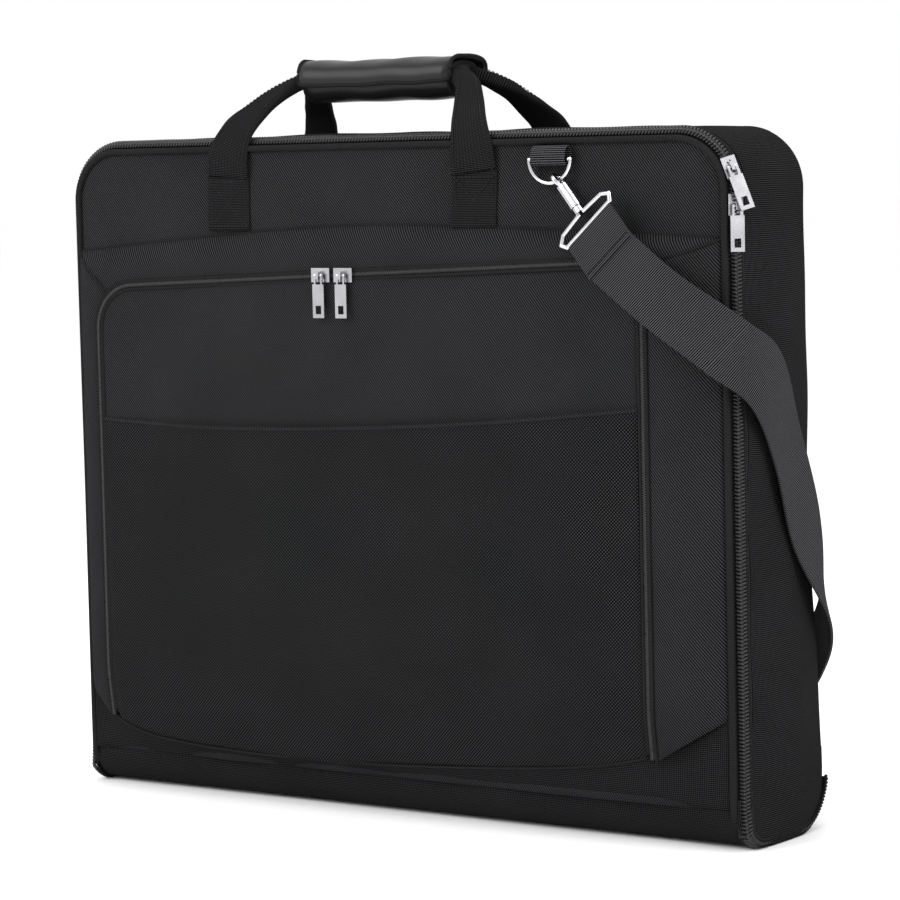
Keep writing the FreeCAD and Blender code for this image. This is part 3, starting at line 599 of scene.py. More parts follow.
def fold():
    """Bent bottom cloth in two pieces, one towards each half of the bag, fixed where they are made."""
    low = BACK - REAR_BEND
    fore, rear = np.linspace(0, math.pi / 2, 13), np.linspace(0, math.pi / 2, 15)
    fore_y = [FRONT] * 3 + [FRONT + FRONT_BEND * (1 - math.cos(t)) for t in fore]
    fore_z = [39, 36, 33] + [FRONT_BEND * (1 - math.sin(t)) for t in fore]
    rear_y = [low + REAR_BEND * math.sin(t) for t in rear] + [BACK] * 2
    rear_z = [REAR_BEND * (1 - math.cos(t)) for t in rear] + [52, 60]
    middle = np.linspace(FRONT + FRONT_BEND, low, 8)
    half = HALF - 4
    for name, ys, zs, bodies, start, end in (
            ("fold_cloth_front", fore_y + list(middle[1:4]), fore_z + [0] * 3, ("bottom_fold", "front_half"),
             (0, -0.034, 0.004), (0, FRONT * MM, 0.031)),
            ("fold_cloth_rear", list(middle[3:-1]) + rear_y, [0] * 4 + rear_z, ("bottom_fold", "back_half"),
             (0, 0.022, 0.004), (0, BACK * MM, 0.046))):
        x = np.linspace(-half, half, 70)
        p = np.zeros((len(ys), len(x), 3))
        p[..., 0] = x
        p[..., 1] = np.array(ys)[:, None]
        p[..., 2] = np.array(zs)[:, None] + 0.05
        inward = 0.7 * (1 + ripple(p[..., 0], p[..., 1] + p[..., 2], 21, 120)) * smooth(p[..., 2] / 15)
        p[..., 1] += np.where(p[..., 1] < 0, 1, -1) * inward
        item = grid(name, lean(p), PLAIN, flip=(name == "fold_cloth_front"))
        solid(item, 1.6)
        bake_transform(item)
        if name == "fold_cloth_front":
            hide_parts("bottom_panel")


# ---- zips

def tooth_piece(reach, height, width):
    """One coil: its head laps over the zip's middle, its heel lies on the tape."""
    stations = [(0, -reach * 0.24, height * 0.1), (width * 0.12, -reach * 0.1, height * 0.75),
                (width * 0.3, reach * 0.35, height), (width * 0.5, reach * 0.85, height * 0.6),
                (width * 0.6, reach, 0)]
    return bar_piece(stations, [width * 0.34, width * 0.5, width * 0.42, width * 0.36, width * 0.3], 6)


def chain(name, path, out, coil, body, side):
    """One row of coils on one side of a path. out is the direction that the zip faces at each point."""
    pitch, reach, height = coil
    count = int(run(path)[-1] / pitch)
    path, out = even(path, count, out)
    way = tangents(path)
    out = unit(out - way * np.sum(out * way, 1, keepdims=True))
    across = np.cross(way, out)
    verts, faces = tooth_piece(reach, height, pitch)
    at = path + way * (0.25 * pitch * side)
    label = "left" if side < 0 else "right"
    item = copies(f"{name}_{label}_coils", verts, faces, at, -way, across * side, out, COIL)
    return place(item, body) if body else item


def main_zip_path(feet=True):
    """Middle line of the perimeter zip and the way it faces: up both sides and over the top."""
    p, n = arch(ZIP_INSET, FRONT_BEND + 2, 4.0)
    path = xyz(p[:, 0], ZIP_Y, p[:, 1])
    out = unit(xyz(n[:, 0], -1.0, n[:, 1]))
    if feet:
        path, out = add_feet(path, out)
    return lean(path), out


def add_feet(path, out):
    """Carry the zip round under both lower ends of the gusset and up their backs."""
    rise = REAR_BEND * np.sin(np.linspace(0.06, math.pi / 2 * 0.98, 16))
    ys = np.concatenate([np.linspace(ZIP_Y + 0.5, FRONT + FRONT_BEND, 14), np.linspace(-24, 12, 10),
                         BACK - REAR_BEND + rise - 1])
    centre_z = np.where(ys < -10, FRONT_BEND, REAR_BEND)
    centre_y = np.clip(ys, FRONT + FRONT_BEND, BACK - REAR_BEND)
    down = unit(xyz(0, ys - centre_y, fold_height(ys) - centre_z))
    for side in (-1, 1):
        foot = xyz(side * (HALF - 1.5), ys, fold_height(ys) + 1.6)
        face = unit(down + np.array([side * 0.8, 0, 0]))
        if side < 0:
            path = np.vstack([foot[::-1], path])
            out = np.vstack([face[::-1], out])
        else:
            path = np.vstack([path, foot])
            out = np.vstack([out, face])
    return path, out


def main_zip():
    path, out = main_zip_path()
    chain("main_zip", path, out, MAIN_COIL, "back_half", -1)
    for name, foot in (("main_zip_left_foot", slice(None, 41)), ("main_zip_right_foot", slice(-41, None))):
        chain(name, path[foot], out[foot], MAIN_COIL, "back_half", 1)
    thin = ring_section(6.5, 0.5, 8, 4.0)
    place(sweep("main_zip_tape", path - out * 1.2, thin, TAPE, out), "back_half")
    n = unit(out * np.array([1, 0, 1]) + 1e-6)
    rear = path + np.array([0, 4.9, 0]) + n * 2.6
    piping("gusset_piping", rear[40:-40], 1.25, "back_half")
    open_path, open_out = main_zip_path(False)
    chain("main_zip", open_path, open_out, MAIN_COIL, "front_half", 1)
    front = open_path - open_out * 1.9
    place(sweep("main_zip_front_tape", front + np.array([0, -1.2, 0]), ring_section(3.0, 0.4, 8, 4.0), TAPE,
                open_out), "front_half", ["main_zip_front_chain"])


def welt():
    """Piping round the front panel, down both sides to the fold."""
    p, _ = arch(WELT_INSET, FRONT_BEND - 6, 5.0)
    y = FRONT - 0.6 + 6.0 * smooth((FRONT_BEND - p[:, 1]) / 14)
    place(tube("front_piping", upright(p, y), 2.5, BINDING, count=12), "front_half", ["front_welt"])


# ---- front face

def base_y(x, z):
    """Face of the front panel behind the pocket, crowned and pulled back at its edges."""
    edge = from_edge(x, z, WELT_INSET)
    return FRONT + 0.8 - swell(edge, 3.2, 26) - 1.4 * ripple(x, z, 3, 120) * smooth(edge / 50)


def front_base():
    p = face_grid(FRONT_BEND + 1, TOP - WELT_INSET, WELT_INSET, 6.0, base_y)
    item = upright_cloth("front_cloth", p, TWILL, 2.0)
    place(item, "front_half", ["front_panel"])


def rim_top(x):
    """Height of the pocket zip's upper run, a little higher to the right."""
    return RIM_TOP + (x + 35) * 0.04


RIM_TOP = DOOR_HIGH[2] + 3.4
RIM_LEFT, RIM_RIGHT = DOOR_LOW[0] - 3.4, DOOR_HIGH[0] + 3.4
RIM_RADIUS = 36.0
GUARD_SEAM = [(-297, 116), (-287, 76), (-250, 52), (-199, 43), (-100, 39), (15, 42), (160, 53), (236, 68),
              (276, 88), (296, 104)]
BAND_SEAM = [(-298, 442), (-200, 450), (-90, 458), (9, 461), (140, 457), (230, 453), (297, 449)]
SLIP_EDGE = [(-273, 306), (-160, 302), (-40, 304), (100, 312), (238, 325)]


def rim(inset=0.0, count=241):
    """(x, z) line of the pocket zip from its left foot to its right foot, and its inward directions."""
    radius = RIM_RADIUS - inset
    left, right = RIM_LEFT + inset, RIM_RIGHT - inset
    lt, rt = rim_top(left + radius) - inset, rim_top(right - radius) - inset
    pts = [(left, z) for z in np.linspace(62 + inset, lt - radius, 40, endpoint=False)]
    pts += [(left + radius - radius * math.cos(t), lt - radius + radius * math.sin(t))
            for t in np.linspace(0, math.pi / 2, 16, endpoint=False)]
    pts += [(x, rim_top(x) - inset) for x in np.linspace(left + radius, right - radius, 50, endpoint=False)]
    pts += [(right - radius + radius * math.sin(t), rt - radius + radius * math.cos(t))
            for t in np.linspace(0, math.pi / 2, 16, endpoint=False)]
    pts += [(right, z) for z in np.linspace(rt - radius, 66 + inset, 41)]
    return even(pts, count)


def rim_y(z):
    """Depth of the raised rim: it sinks towards the guard seam."""
    return RIM_Y - 0.2 + 7.0 * smooth((110 - z) / 70)


def band():
    """The pocket's sloping walls: left, top and right, meeting at mitred corners."""
    inner = rim(-2.2)
    outer_left, outer_right = BAND_SEAM[0], BAND_SEAM[-1]
    corner_left = nearest(inner, (RIM_LEFT + 9, RIM_TOP - 12))
    corner_right = nearest(inner, (RIM_RIGHT - 9, rim_top(RIM_RIGHT) - 9))
    top_line = spline(BAND_SEAM, 80)
    left_line = even([(-297.5, 88), (-298, 200), outer_left], 60)
    right_line = even([outer_right, (297, 250), (297, 99)], 60)
    for name, out_line, in_line, seed in (
            ("pocket_wall_left", left_line, even(inner[:corner_left + 1], 60), 1),
            ("pocket_wall_top", top_line, even(inner[corner_left:corner_right + 1], 80), 2),
            ("pocket_wall_right", right_line, even(inner[corner_right:], 60), 3)):
        t = np.linspace(0, 1, 13)
        p = out_line[:, None] * (1 - t)[None, :, None] + in_line[:, None] * t[None, :, None]
        x, z = p[..., 0], p[..., 1]
        near = base_y(x, z) - 0.8
        y = near + (rim_y(z) - near) * (np.sin(t * math.pi / 2) ** 0.75)[None, :]
        y = y - np.sin(np.pi * t)[None, :] * (1.2 + 0.9 * ripple(x, z, 40 + seed, 70))
        item = upright_cloth(name, upright(p, y), TWILL, 1.6)
        place(item, "front_half", ["pocket_gusset"] if seed == 1 else ())
    for name, line in (("band_seam", top_line), ("left_mitre", [outer_left, inner[corner_left]]),
                       ("right_mitre", [inner[corner_right], outer_right])):
        line = even(line, 60)
        t = np.zeros(60) if name == "band_seam" else np.linspace(0, 1, 60)
        if name == "right_mitre":
            t = 1 - t
        y = base_y(line[:, 0], line[:, 1]) - 0.9
        y = y + (rim_y(line[:, 1]) - y) * np.sin(t * math.pi / 2) ** 0.75 - 0.9 * np.sin(np.pi * t)
        piping(name, upright(line, y), 0.7 if name == "band_seam" else 0.9, "front_half", 6)


def pocket_zip():
    line = rim(0.2)
    path = upright(line, rim_y(line[:, 1]) - 0.6)
    out = np.tile(np.array([0, -1.0, 0]), (len(path), 1))
    place(sweep("pocket_zip_tape", path + np.array([0, 1.2, 0]), ring_section(5.0, 0.5, 8, 4.0), TAPE),
          "front_half", ["pocket_zip_outer_chain"])
    chain("pocket_zip", path, out, POCKET_COIL, "front_half", -1)
    flap_piece(chain("pocket_zip", path, out, POCKET_COIL, None, 1))
    for name, inset, radius in (("pocket_outer_piping", -2.6, 1.3), ("pocket_inner_piping", 3.6, 1.5)):
        line = rim(inset)
        item = tube(name, upright(line, rim_y(line[:, 1]) - 0.7), radius, BINDING, 8)
        if inset < 0:
            place(item, "front_half")
        else:
            flap_piece(item)


def flap_piece(item, replaced=()):
    """A piece of the zip-open flap, fixed where it is made; the CAD nodes that it stands for are hidden."""
    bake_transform(item)
    if replaced:
        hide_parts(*replaced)


def coons(bottom, top, left, right):
    """Points filling the patch between four boundary lines, each given from left to right or low to high."""
    n, m = len(left), len(bottom)
    u = np.linspace(0, 1, m)[None, :, None]
    v = np.linspace(0, 1, n)[:, None, None]
    ruled_v = (1 - v) * bottom[None] + v * top[None]
    ruled_u = (1 - u) * left[:, None] + u * right[:, None]
    corners = ((1 - u) * (1 - v) * bottom[0] + u * (1 - v) * bottom[-1]
               + (1 - u) * v * top[0] + u * v * top[-1])
    return ruled_v + ruled_u - corners


def seam_between(left_x, right_x, line, count):
    """The stretch of a line between two x values."""
    dense = spline(line, 600)
    x = np.linspace(left_x, right_x, count)
    return np.stack([x, np.interp(x, dense[:, 0], dense[:, 1])], 1)


def edges_of(inset, foot_line, head_line=None, cols=90, rows=70):
    """Points that fill the pocket zip's inside above one line, and below another if it is given."""
    line = rim(inset, 481)
    half = len(line) // 2
    if head_line is None:
        cut = (RIM_RADIUS - inset) * ARC_MIDDLE
        a = nearest(line[:half], (RIM_LEFT + inset + cut, rim_top(-235) - inset - cut))
        b = half + nearest(line[half:], (RIM_RIGHT - inset - cut, rim_top(205) - inset - cut))
        left, right, head = line[:a + 1], line[b:][::-1], line[a:b + 1]
    else:
        head = seam_between(RIM_LEFT + inset, RIM_RIGHT - inset, head_line, cols)
        left = np.array([line[0], head[0]])
        right = np.array([line[-1], head[-1]])
    foot = seam_between(RIM_LEFT + inset + 3, RIM_RIGHT - inset, foot_line, cols)
    left = even(np.vstack([foot[:1], left[left[:, 1] > foot[0, 1] + 4]]), rows)
    right = even(np.vstack([foot[-1:], right[right[:, 1] > foot[-1, 1] + 4]]), rows)
    return coons(foot, even(head, cols), left, right)


def door_y(x, z):
    """Face of the pocket flap, pillowed between its edges."""
    a = np.clip((x - RIM_LEFT) / (RIM_RIGHT - RIM_LEFT), 0, 1)
    b = np.clip((z - 45) / (RIM_TOP - 45), 0, 1)
    pillow = (4 * a * (1 - a)) ** 0.5 * (4 * b * (1 - b)) ** 0.4
    return rim_y(z) - 0.2 - 4.6 * pillow - 1.5 * ripple(x, z, 8, 110) * pillow


def pocket_flap():
    p = edges_of(4.0, GUARD_SEAM)
    x, z = p[..., 0], p[..., 1]
    item = upright_cloth("pocket_flap_cloth", upright(p, door_y(x, z)), TWILL, 1.4)
    flap_piece(item, ["pocket_door", "pocket_zip_inner_chain"])

    p = edges_of(4.6, GUARD_SEAM, SLIP_EDGE)
    x, z = p[..., 0], p[..., 1]
    a = np.clip((x - RIM_LEFT - 5) / (RIM_RIGHT - RIM_LEFT - 10), 0, 1)
    depth = np.linspace(1, 0, p.shape[0])[:, None]
    gape = (1.2 + 3.2 * (4 * a * (1 - a)) ** 0.6 * (1 - depth) ** 2.0)
    crease = np.clip(0.9 * ripple(x, z, 9, 140), -0.7, 1.6) * (4 * a * (1 - a))
    y = door_y(x, z) - gape - crease
    item = upright_cloth("slip_pocket_cloth", upright(p, y), BALLISTIC, 1.4)
    flap_piece(item, ["slip_pocket_panel"])
    head = xyz(x[-1], y[-1], z[-1])
    hem = lean(even(head, 160))
    flap_piece(sweep("slip_pocket_hem", hem, ring_section(1.1, 1.6, 10), TWILL, hint=(0, 0, 1)))


def guard():
    """Plain cloth along the front's foot, lapping over the pocket's lower edge."""
    seam = spline(GUARD_SEAM, 140)
    foot = np.stack([np.linspace(-296, 296, 140), np.full(140, 30.5)], 1)
    t = np.linspace(0, 1, 12)
    p = foot[:, None] * (1 - t)[None, :, None] + seam[:, None] * t[None, :, None]
    x, z = p[..., 0], p[..., 1]
    inside = smooth((x - RIM_LEFT + 12) / 24) * smooth((RIM_RIGHT + 12 - x) / 24)
    lift = (rim_y(z) - base_y(x, z)) * inside * t[None] ** 1.5
    y = base_y(x, z) - 1.2 + np.minimum(lift, 0) - 1.0
    y = y + (FRONT - 0.7 - y) * smooth((42 - z) / 12)
    item = upright_cloth("foot_guard_cloth", upright(p, y), PLAIN, 1.6, flip=True)
    place(item, "front_half", ["bottom_guard"])
    piping("guard_seam", upright(p[:, -1], y[:, -1] - 0.3), 0.9, "front_half", count=6)


# ---- sewing and soft finish

def rumple(item, amount, wave, seed):
    """Push a mesh in and out along its own normals by a smooth uneven amount, in millimetres."""
    mesh = item.data
    at = np.array([v.co for v in mesh.vertices]) / MM
    way = np.array([v.normal for v in mesh.vertices])
    push = ripple(at[:, 0] + 0.6 * at[:, 1], at[:, 2] - 0.6 * at[:, 1], seed, wave) * amount
    mesh.vertices.foreach_set("co", ((at + way * push[:, None]) * MM).ravel())
    mesh.update()
    return item


def stitches(name, lines, out, body, pitch=3.4):
    """Rows of thread stitches. out is the way the cloth faces, one direction or one for each point."""
    places, ways, faces_out = [], [], []
    for line in lines:
        line = np.array(line, float)
        hint = np.array(np.broadcast_to(np.asarray(out, float), line.shape))
        line, hint = even(line, max(3, int(run(line)[-1] / pitch)), hint)
        way = tangents(line)
        places.append(line)
        ways.append(way)
        faces_out.append(unit(hint - way * np.sum(hint * way, 1, keepdims=True)))
    at, way, face = (np.concatenate(part) for part in (places, ways, faces_out))
    verts, faces = bar_piece([(-1.2, 0, -0.25), (-0.6, 0, 0.2), (0.6, 0, 0.2), (1.2, 0, -0.25)],
                             [0.22, 0.36, 0.36, 0.22], 6)
    item = copies(name, verts, faces, at, way, np.cross(face, way), face, THREAD)
    return place(item, body)


# ---- carry handles and their wrap

FEET = (-143.0, 88.0)               # x of the two sewn feet of each handle
MIDDLE = sum(FEET) / 2
WRAP_Z = 571.0                      # height of the wrap's middle
WRAP_ENDS = (-96.5, 41.5)           # x of the wrap's two ends
STITCH_BOX = 16.5                   # half the width of the stitched box on a handle's foot


def skin(x, z, side):
    """Face of the bag under the handles: side is -1 at the front and 1 at the back."""
    if side < 0:
        return base_y(x, z) - 0.4
    return BACK + 0.6 + swell(from_edge(x, z, BACK_INSET), 3.5, 45)


def handle(side):
    """Webbing: flat where it is sewn on, narrowed up the leg and rolled inside the wrap."""
    label, half = ("front", "front_half") if side < 0 else ("rear", "back_half")
    body = label + "_handle"
    low = side * abs(float(skin(np.array(FEET[0]), np.array(492.0), side))) + side * 3.0
    # along, depth, height, the way it faces, half width, half thickness
    leg = [(-143, low, 500, 0, side, 0, 20, 1.5),
           (-141, low + side * 0.6, 517, 0, side, 0.05, 18.8, 1.7),
           (-135, side * 57, 537, 0, side, 0.4, 15.5, 2.4),
           (-125, side * 40, 554, 0, 0.8 * side, 0.9, 12, 3.8),
           (-113, side * 23, 567, 0, 0.35 * side, 1, 9.5, 5.2),
           (-95, side * 14, 574.5, 0, 0.1 * side, 1, 7.6, 6.4),
           (-60, side * 12.5, 575, 0, 0, 1, 7, 6.8)]
    other = [(2 * MIDDLE - row[0],) + row[1:] for row in leg[::-1]]
    line = spline(leg + other, 170)
    path, hint, sizes = line[:, :3], line[:, 3:6], line[:, 6:]
    item = sweep(body + "_webbing", path, ring_section(1, 1, 28, 3.2), HANDLE, hint, sizes=sizes)
    rumple(item, 0.35, 34, 60 + side)
    place(item, body, [body])
    across, out = frames(path, hint)
    rows = []
    for part in (path[:, 0] < MIDDLE - 74, path[:, 0] > MIDDLE + 74):
        for edge in (-1, 1):
            reach = across[part] * (edge * (sizes[part, :1] - 3.2))
            rows.append(path[part] + reach + out[part] * sizes[part, 1:] * 0.97)
    facing = np.array([0, side * 0.8, 0.6])
    stitches(body + "_edge_stitches", rows, facing, body)
    for k, x in enumerate(FEET):
        z = np.linspace(457.5, 501, 16)
        y = skin(np.full(16, x), z, side) + side * 1.2
        foot = xyz(x, y, z)
        section = ring_section(20, 1.2, 32, 6.0)
        item = sweep(f"{label}_handle_foot_{k + 1}", foot, section, HANDLE, (0, side, 0))
        place(item, half, [label + "_handle_patches"] if k == 0 else ())
        face = float(y[8]) + side * 1.25
        near, far = x - STITCH_BOX, x + STITCH_BOX
        box = [(near, face, 461), (far, face, 461), (far, face, 496), (near, face, 496), (near, face, 461)]
        lines = [box[i:i + 2] for i in range(4)] + [[box[0], box[2]], [box[1], box[3]]]
        lines.append([(near, face, 458.9), (far, face, 458.9)])
        stitches(f"{label}_foot_stitches_{k + 1}", lines, (0, side, 0), half, 3.0)


def wrap():
    """Padded roll round both handles, and the bound flap that closes over its top."""
    x = np.linspace(*WRAP_ENDS, 64)
    edge = np.minimum(x - x[0], x[-1] - x)
    full = 1 - 0.13 * np.exp(-edge / 4.5)
    sizes = np.stack([full * 23.3, full * 14.6], 1)
    path = xyz(x, 0, WRAP_Z)
    item = sweep("handle_wrap_pad", path, ring_section(1, 1, 56, 2.5), SATIN, (0, 0, 1), sizes=sizes)
    rumple(item, 0.45, 42, 71)
    place(item, "front_handle", ["handle_wrap"])
    for k, at in enumerate((x[0] + 1.2, x[-1] - 1.2)):
        turn = ring_section(21.6, 13.6, 56, 2.5)
        rim_path = xyz(at, turn[:, 0], WRAP_Z + turn[:, 1])
        piping(f"wrap_end_binding_{k + 1}", rim_path, 1.5, "front_handle", 8, True, (1, 0, 0))

    profile = spline([(24, 577), (22.6, 584), (15, 588.0), (0, 589.4), (-15, 588.2), (-25, 583.5),
                      (-28.6, 576.5), (-28.4, 569.5)], 44)
    u = np.linspace(-1, 1, 90)
    round_off = 7 * np.clip((np.abs(u) - 0.9) / 0.1, 0, 1)[:, None] ** 2
    reach = smooth((-profile[:, 0] - 6) / 22)[None]
    p = np.zeros((90, 44, 3))
    p[..., 0] = MIDDLE + u[:, None] * (73.6 - 2.5 * reach)
    p[..., 1] = profile[:, 0] + round_off * reach * 0.5
    p[..., 2] = profile[:, 1] + round_off * reach * 0.35 + 0.5 * ripple(p[..., 0], p[..., 1], 77, 60)
    item = grid("wrap_flap_cloth", p, SATIN)
    solid(item, 1.8)
    place(item, "wrap_flap", ["handle_wrap_flap"])
    border = even(np.concatenate([p[0], p[1:, -1], p[-1, ::-1][1:]]), 260)
    piping("wrap_flap_binding", border, 1.5, "wrap_flap", 8, hint=(0, 0.2, 1))


# ---- rings' tabs and the shoulder strap

FRONT_CLASP = (np.array((194.68, -77.36, 459.97)), np.array((0.6671, -0.2079, -0.7154)))
REAR_CLASP = (np.array((-211.05, 71.14, 447.05)), np.array((0.2582, 0.0698, -0.9636)))
WIDE = 24.0                         # half the strap's width


def ring_tab(node, x, side, body):
    """Short webbing loop that holds a ring to the bag."""
    profile = spline([(60.9, 503.6), (60.9, 515), (64, 517.6), (68.6, 516.4), (71.4, 510.5), (70.6, 505.2),
                      (66, 503.9), (62.6, 504.0)], 60)
    path = xyz(x, side * profile[:, 0], profile[:, 1])
    hint = path - np.array([x, side * 66.5, 510.5])
    item = sweep(node + "_webbing", path, ring_section(14.8, 0.6, 28, 7.0), WEBBING, hint)
    place(item, body, [node])


def webbing_line(points, count):
    """Path, width direction and facing of webbing through points that carry the width's direction."""
    line = spline([tuple(at) + tuple(unit(wide)) for at, wide in points], count)
    path, wide = line[:, :3], unit(line[:, 3:])
    return path, wide, unit(np.cross(wide, tangents(path)))


def webbing_piece(name, path, wide, out, thick):
    section = ring_section(WIDE, thick / 2, 32, 8.0)
    p = path[:, None] + wide[:, None] * section[None, :, 0, None] + out[:, None] * section[None, :, 1, None]
    item = grid(name, p, WEBBING, wrap=True, caps=True, flip=True)
    ends = [face for face in item.data.polygons if len(face.vertices) > 4]
    rims = {key for face in ends for key in face.edge_keys}
    for face in ends:
        face.use_smooth = False
    for edge in item.data.edges:
        edge.use_edge_sharp = edge.key in rims
    return item


def strap_ends():
    """The strap's two folded ends, each with one row of stitches across it."""
    starts = {}
    for label, (bar, way), sheet_side in (("front", FRONT_CLASP, -1), ("rear", REAR_CLASP, 1)):
        across = np.cross(way, (0, 1, 0))
        path, wide, out = webbing_line([(bar + way * 2.4, across), (bar + way * 18, across),
                                        (bar + way * 34, across)], 24)
        item = webbing_piece(f"strap_{label}_end_fold", path, wide, out, 4.7)
        place(item, label + "_loop", [f"strap_{label}_end"])
        face = unit(np.cross(across, way)) * 2.4
        face = face * np.sign(face[1]) * sheet_side
        middle = bar + way * 30 + face
        edge = unit(across) * 22
        stitches(f"strap_{label}_end_stitches", [[middle - edge, middle + edge]], face, label + "_loop",
                 2.8)
        starts[label] = (bar + way * 31.0, across)
    return starts


def strap():
    """The shoulder strap: one length of webbing, cut into three runs; the front run is fixed where it is
    made, the other two ride the back half.
    """
    starts = strap_ends()
    round_y, round_z = FRONT - 17, TOP - 158
    floor = 6.0
    fall = round_z - floor
    points = [starts["front"], ((HALF - 46, FRONT - 29, TOP - 124), starts["front"][1]),
              ((HALF, round_y, round_z), (0.62, 0.3, 0.7))]
    # past the front edge, depth, share of the fall still to go, and the way its width lies
    for x, y, share, wide in (
            (14, FRONT + 18, 0.928, (0.2, 0.66, 0.72)), (9, 0, 0.79, (0, 0.78, 0.6)),
            (8, BACK - 28, 0.61, (0, 0.9, 0.44)), (7, BACK + 5, 0.43, (-0.55, 0.75, 0.35)),
            (-14, BACK + 18, 0.315, (-0.72, 0.6, 0.35)), (-38, BACK + 26, 0.21, (-0.5, 0.86, 0.1)),
            (-62, BACK + 31, 0.12, (-0.1, 1, 0)), (-95, BACK + 33, 0.041, (0, 1, 0)),
            (-136, BACK + 34, 0, (0, 1, 0))):
        points.append(((HALF + x, y, floor + share * fall), wide))
    hang, across = starts["rear"]
    down = np.array((hang[0] + 26, BACK + 22, hang[2] - 105))
    points.append(((HALF - 190, BACK + 34, 3), (0, 1, 0)))
    for x, y, z, wide in ((140, 34, 3, (0, 1, 0)), (94, 34, 8, (0, 1, 0)), (58, 34, 30, (0, 1, 0)),
                          (34, 33, 68, (0.05, 1, 0)), (20, 32, 130, (0.3, 0.95, 0)),
                          (10, 28, 215, (0.8, 0.6, 0))):
        points.append(((down[0] + x, BACK + y, z), wide))
    points += [(down, across), (hang, across)]
    path, wide, out = webbing_line(points, 420)
    edge_at = nearest(path, (HALF, round_y, round_z))
    foot_at = nearest(path, (HALF - 136, BACK + 34, floor))
    for label, cut, rests_on in (("front", slice(0, edge_at + 1), ["front_clasp_loop"]),
                                 ("side", slice(edge_at, foot_at + 1), []),
                                 ("rear", slice(foot_at, None), ["rear_clasp_loop"])):
        item = webbing_piece(f"strap_{label}_run", path[cut], wide[cut], out[cut], 2.6)
        if label == "front":
            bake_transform(item)
            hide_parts("strap_front")
        else:
            place(item, "back_half", ["strap_" + label])


# ---- metalwork and the inside

def metalwork():
    """The CAD's own hard parts keep their shape; they get softer edges and their finish."""
    bright = [f"{end}_{part}" for end in ("front", "rear")
              for part in ("d_ring", "clasp_hook", "clasp_gate", "clasp_loop")] + ["strap_adjuster"]
    runs = (("main", "lower"), ("main", "upper"), ("pocket", "left"), ("pocket", "right"))
    sliders = [f"{zip_name}_{part}_{end}" for part in ("slider", "pull") for zip_name, end in runs]
    sliders += ["hanger_clamp_base", "hanger_clamp_bar"]
    for nodes, material, width in ((bright, CHROME, 0.25), (sliders, NICKEL, 0.3),
                                   (["front_stiffener", "back_stiffener"], BOARD, 0.5)):
        for node in nodes:
            item = bpy.data.objects[node]
            for slot in item.material_slots:
                slot.link = "OBJECT"
                slot.material = material
            bevelled(item, width)


def inside():
    """Linings of both halves, the front's bound edge and the two elastic bands that hold the garment."""
    for name, body, foot, top, inset, y in (("front_lining", "front_half", 36, 515, 14.5, -50.8),
                                            ("back_lining", "back_half", 50, 525, 4.5, 49.8)):
        def depth(x, z):
            return y + np.clip(0.2 * ripple(x, z, 90, 80), -0.28, 0.28)
        p = face_grid(foot, top, inset, 9.0, depth)
        item = grid(name + "_cloth", p, LINING, flip=(y > 0))
        place(item, body, [name])
    p, _ = arch(9.5, FRONT_BEND + 3, 6.0)
    item = sweep("front_inner_binding", upright(p, FRONT + 4.6), ring_section(5.0, 0.5, 12, 5.0), BINDING,
                 (0, 1, 0))
    place(item, "front_half")
    for k, z in enumerate((160.9, 319.9)):
        x = np.linspace(1.2 - HALF + 3, HALF - 4.2, 80)
        path = xyz(x, 34 + 0.5 * ripple(x, 0 * x, 95 + k, 120), z)
        item = sweep(f"garment_strap_{k + 1}", path, ring_section(12.3, 0.6, 24, 7.0), ELASTIC)
        place(item, "back_half", ["garment_straps"] if k == 0 else ())


# ---- make everything

gusset()
back_panel()
fold()
main_zip()
welt()
front_base()
band()
pocket_zip()
pocket_flap()
guard()
for handle_side in (-1, 1):
    handle(handle_side)
wrap()
ring_tab("front_ring_tab", 157.0, -1, "front_half")
ring_tab("rear_ring_tab", -222.0, 1, "back_half")
strap()
metalwork()
inside()


# ---- camera, light and floor

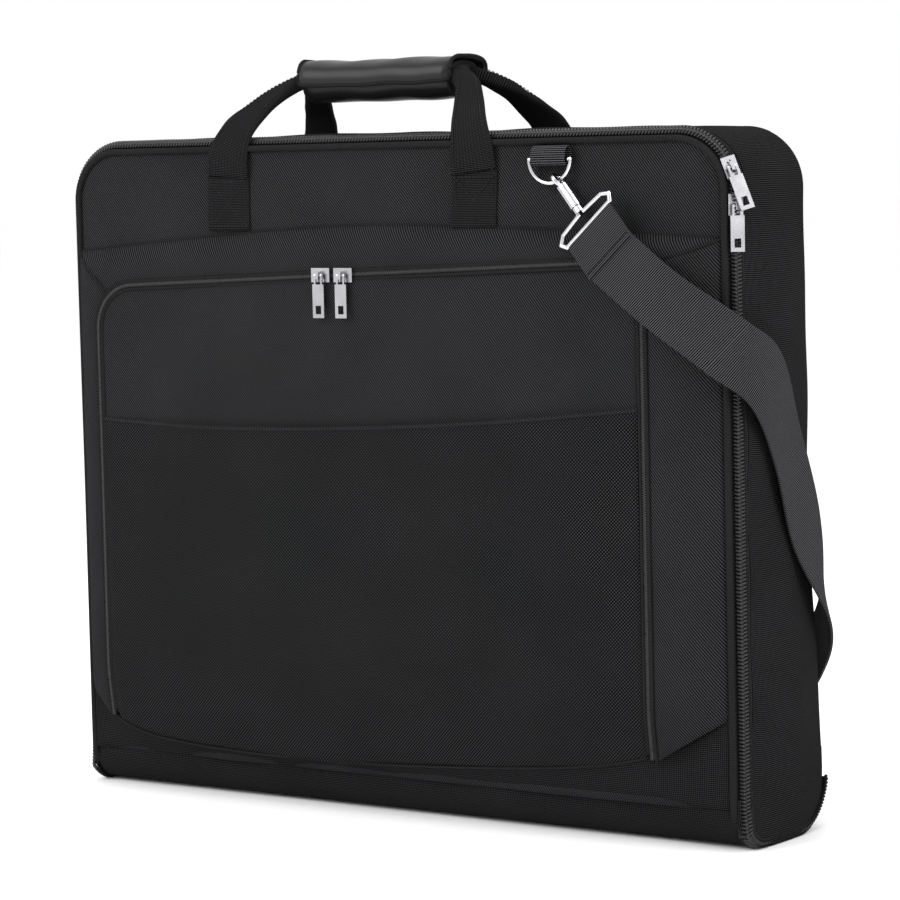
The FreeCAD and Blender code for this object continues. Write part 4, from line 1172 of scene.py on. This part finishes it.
def camera():
    """Long lens from the right and a little above, very slightly rolled."""
    distance = 2.47
    turn, rise, roll = math.radians(32.8), math.radians(5.3), math.radians(-1.3)
    target = Vector((0.020, 0, 0.282))
    back = Vector((math.sin(turn) * math.cos(rise), -math.cos(turn) * math.cos(rise), math.sin(rise)))
    right = Vector((math.cos(turn), math.sin(turn), 0))
    up = back.cross(right)
    right, up = (right * math.cos(roll) + up * math.sin(roll), up * math.cos(roll) - right * math.sin(roll))
    data = bpy.data.cameras.new("camera")
    data.sensor_width = 36
    data.lens = 125.6
    item = add_object("camera", data)
    facing = Matrix((right, up, back)).transposed().to_4x4()
    item.matrix_world = Matrix.Translation(target + back * distance) @ facing
    bpy.context.scene.camera = item


def area_light(name, at, aim, size, power):
    data = bpy.data.lights.new(name, "AREA")
    data.shape = "RECTANGLE"
    data.size, data.size_y = size
    data.energy = power
    item = add_object(name, data)
    item.location = at
    item.rotation_euler = (Vector(aim) - Vector(at)).to_track_quat("-Z", "Y").to_euler()


def stage():
    """White floor just under the bag's foot, white surroundings and three soft lights."""
    wide = 30
    n = Nodes("pale backdrop").set(Base_Color=(1.0, 1.0, 1.0, 1), Roughness=0.9)
    floor = bpy.data.meshes.new("floor")
    corners = [(-wide, -wide, 0), (wide, -wide, 0), (wide, wide, 0), (-wide, wide, 0)]
    floor.from_pydata(corners, [], [(0, 1, 2, 3)])
    floor.materials.append(n.material)
    item = add_object("floor", floor)
    item.location = (0, 0, -0.0006)
    world = bpy.data.worlds.new("studio")
    world.use_nodes = True
    world.node_tree.nodes["Background"].inputs[0].default_value = (1, 1, 1, 1)
    world.node_tree.nodes["Background"].inputs[1].default_value = 1.0
    bpy.context.scene.world = world
    bpy.context.scene.view_settings.view_transform = "Standard"
    area_light("key", (-1.3, -2.2, 2.0), (0, 0, 0.3), (1.6, 1.6), 60)
    area_light("right_fill", (2.6, -0.4, 1.2), (0.2, 0, 0.3), (1.2, 1.8), 30)
    area_light("top", (0.2, 0.3, 2.4), (0, 0, 0.4), (1.6, 1.0), 22)


camera()
stage()
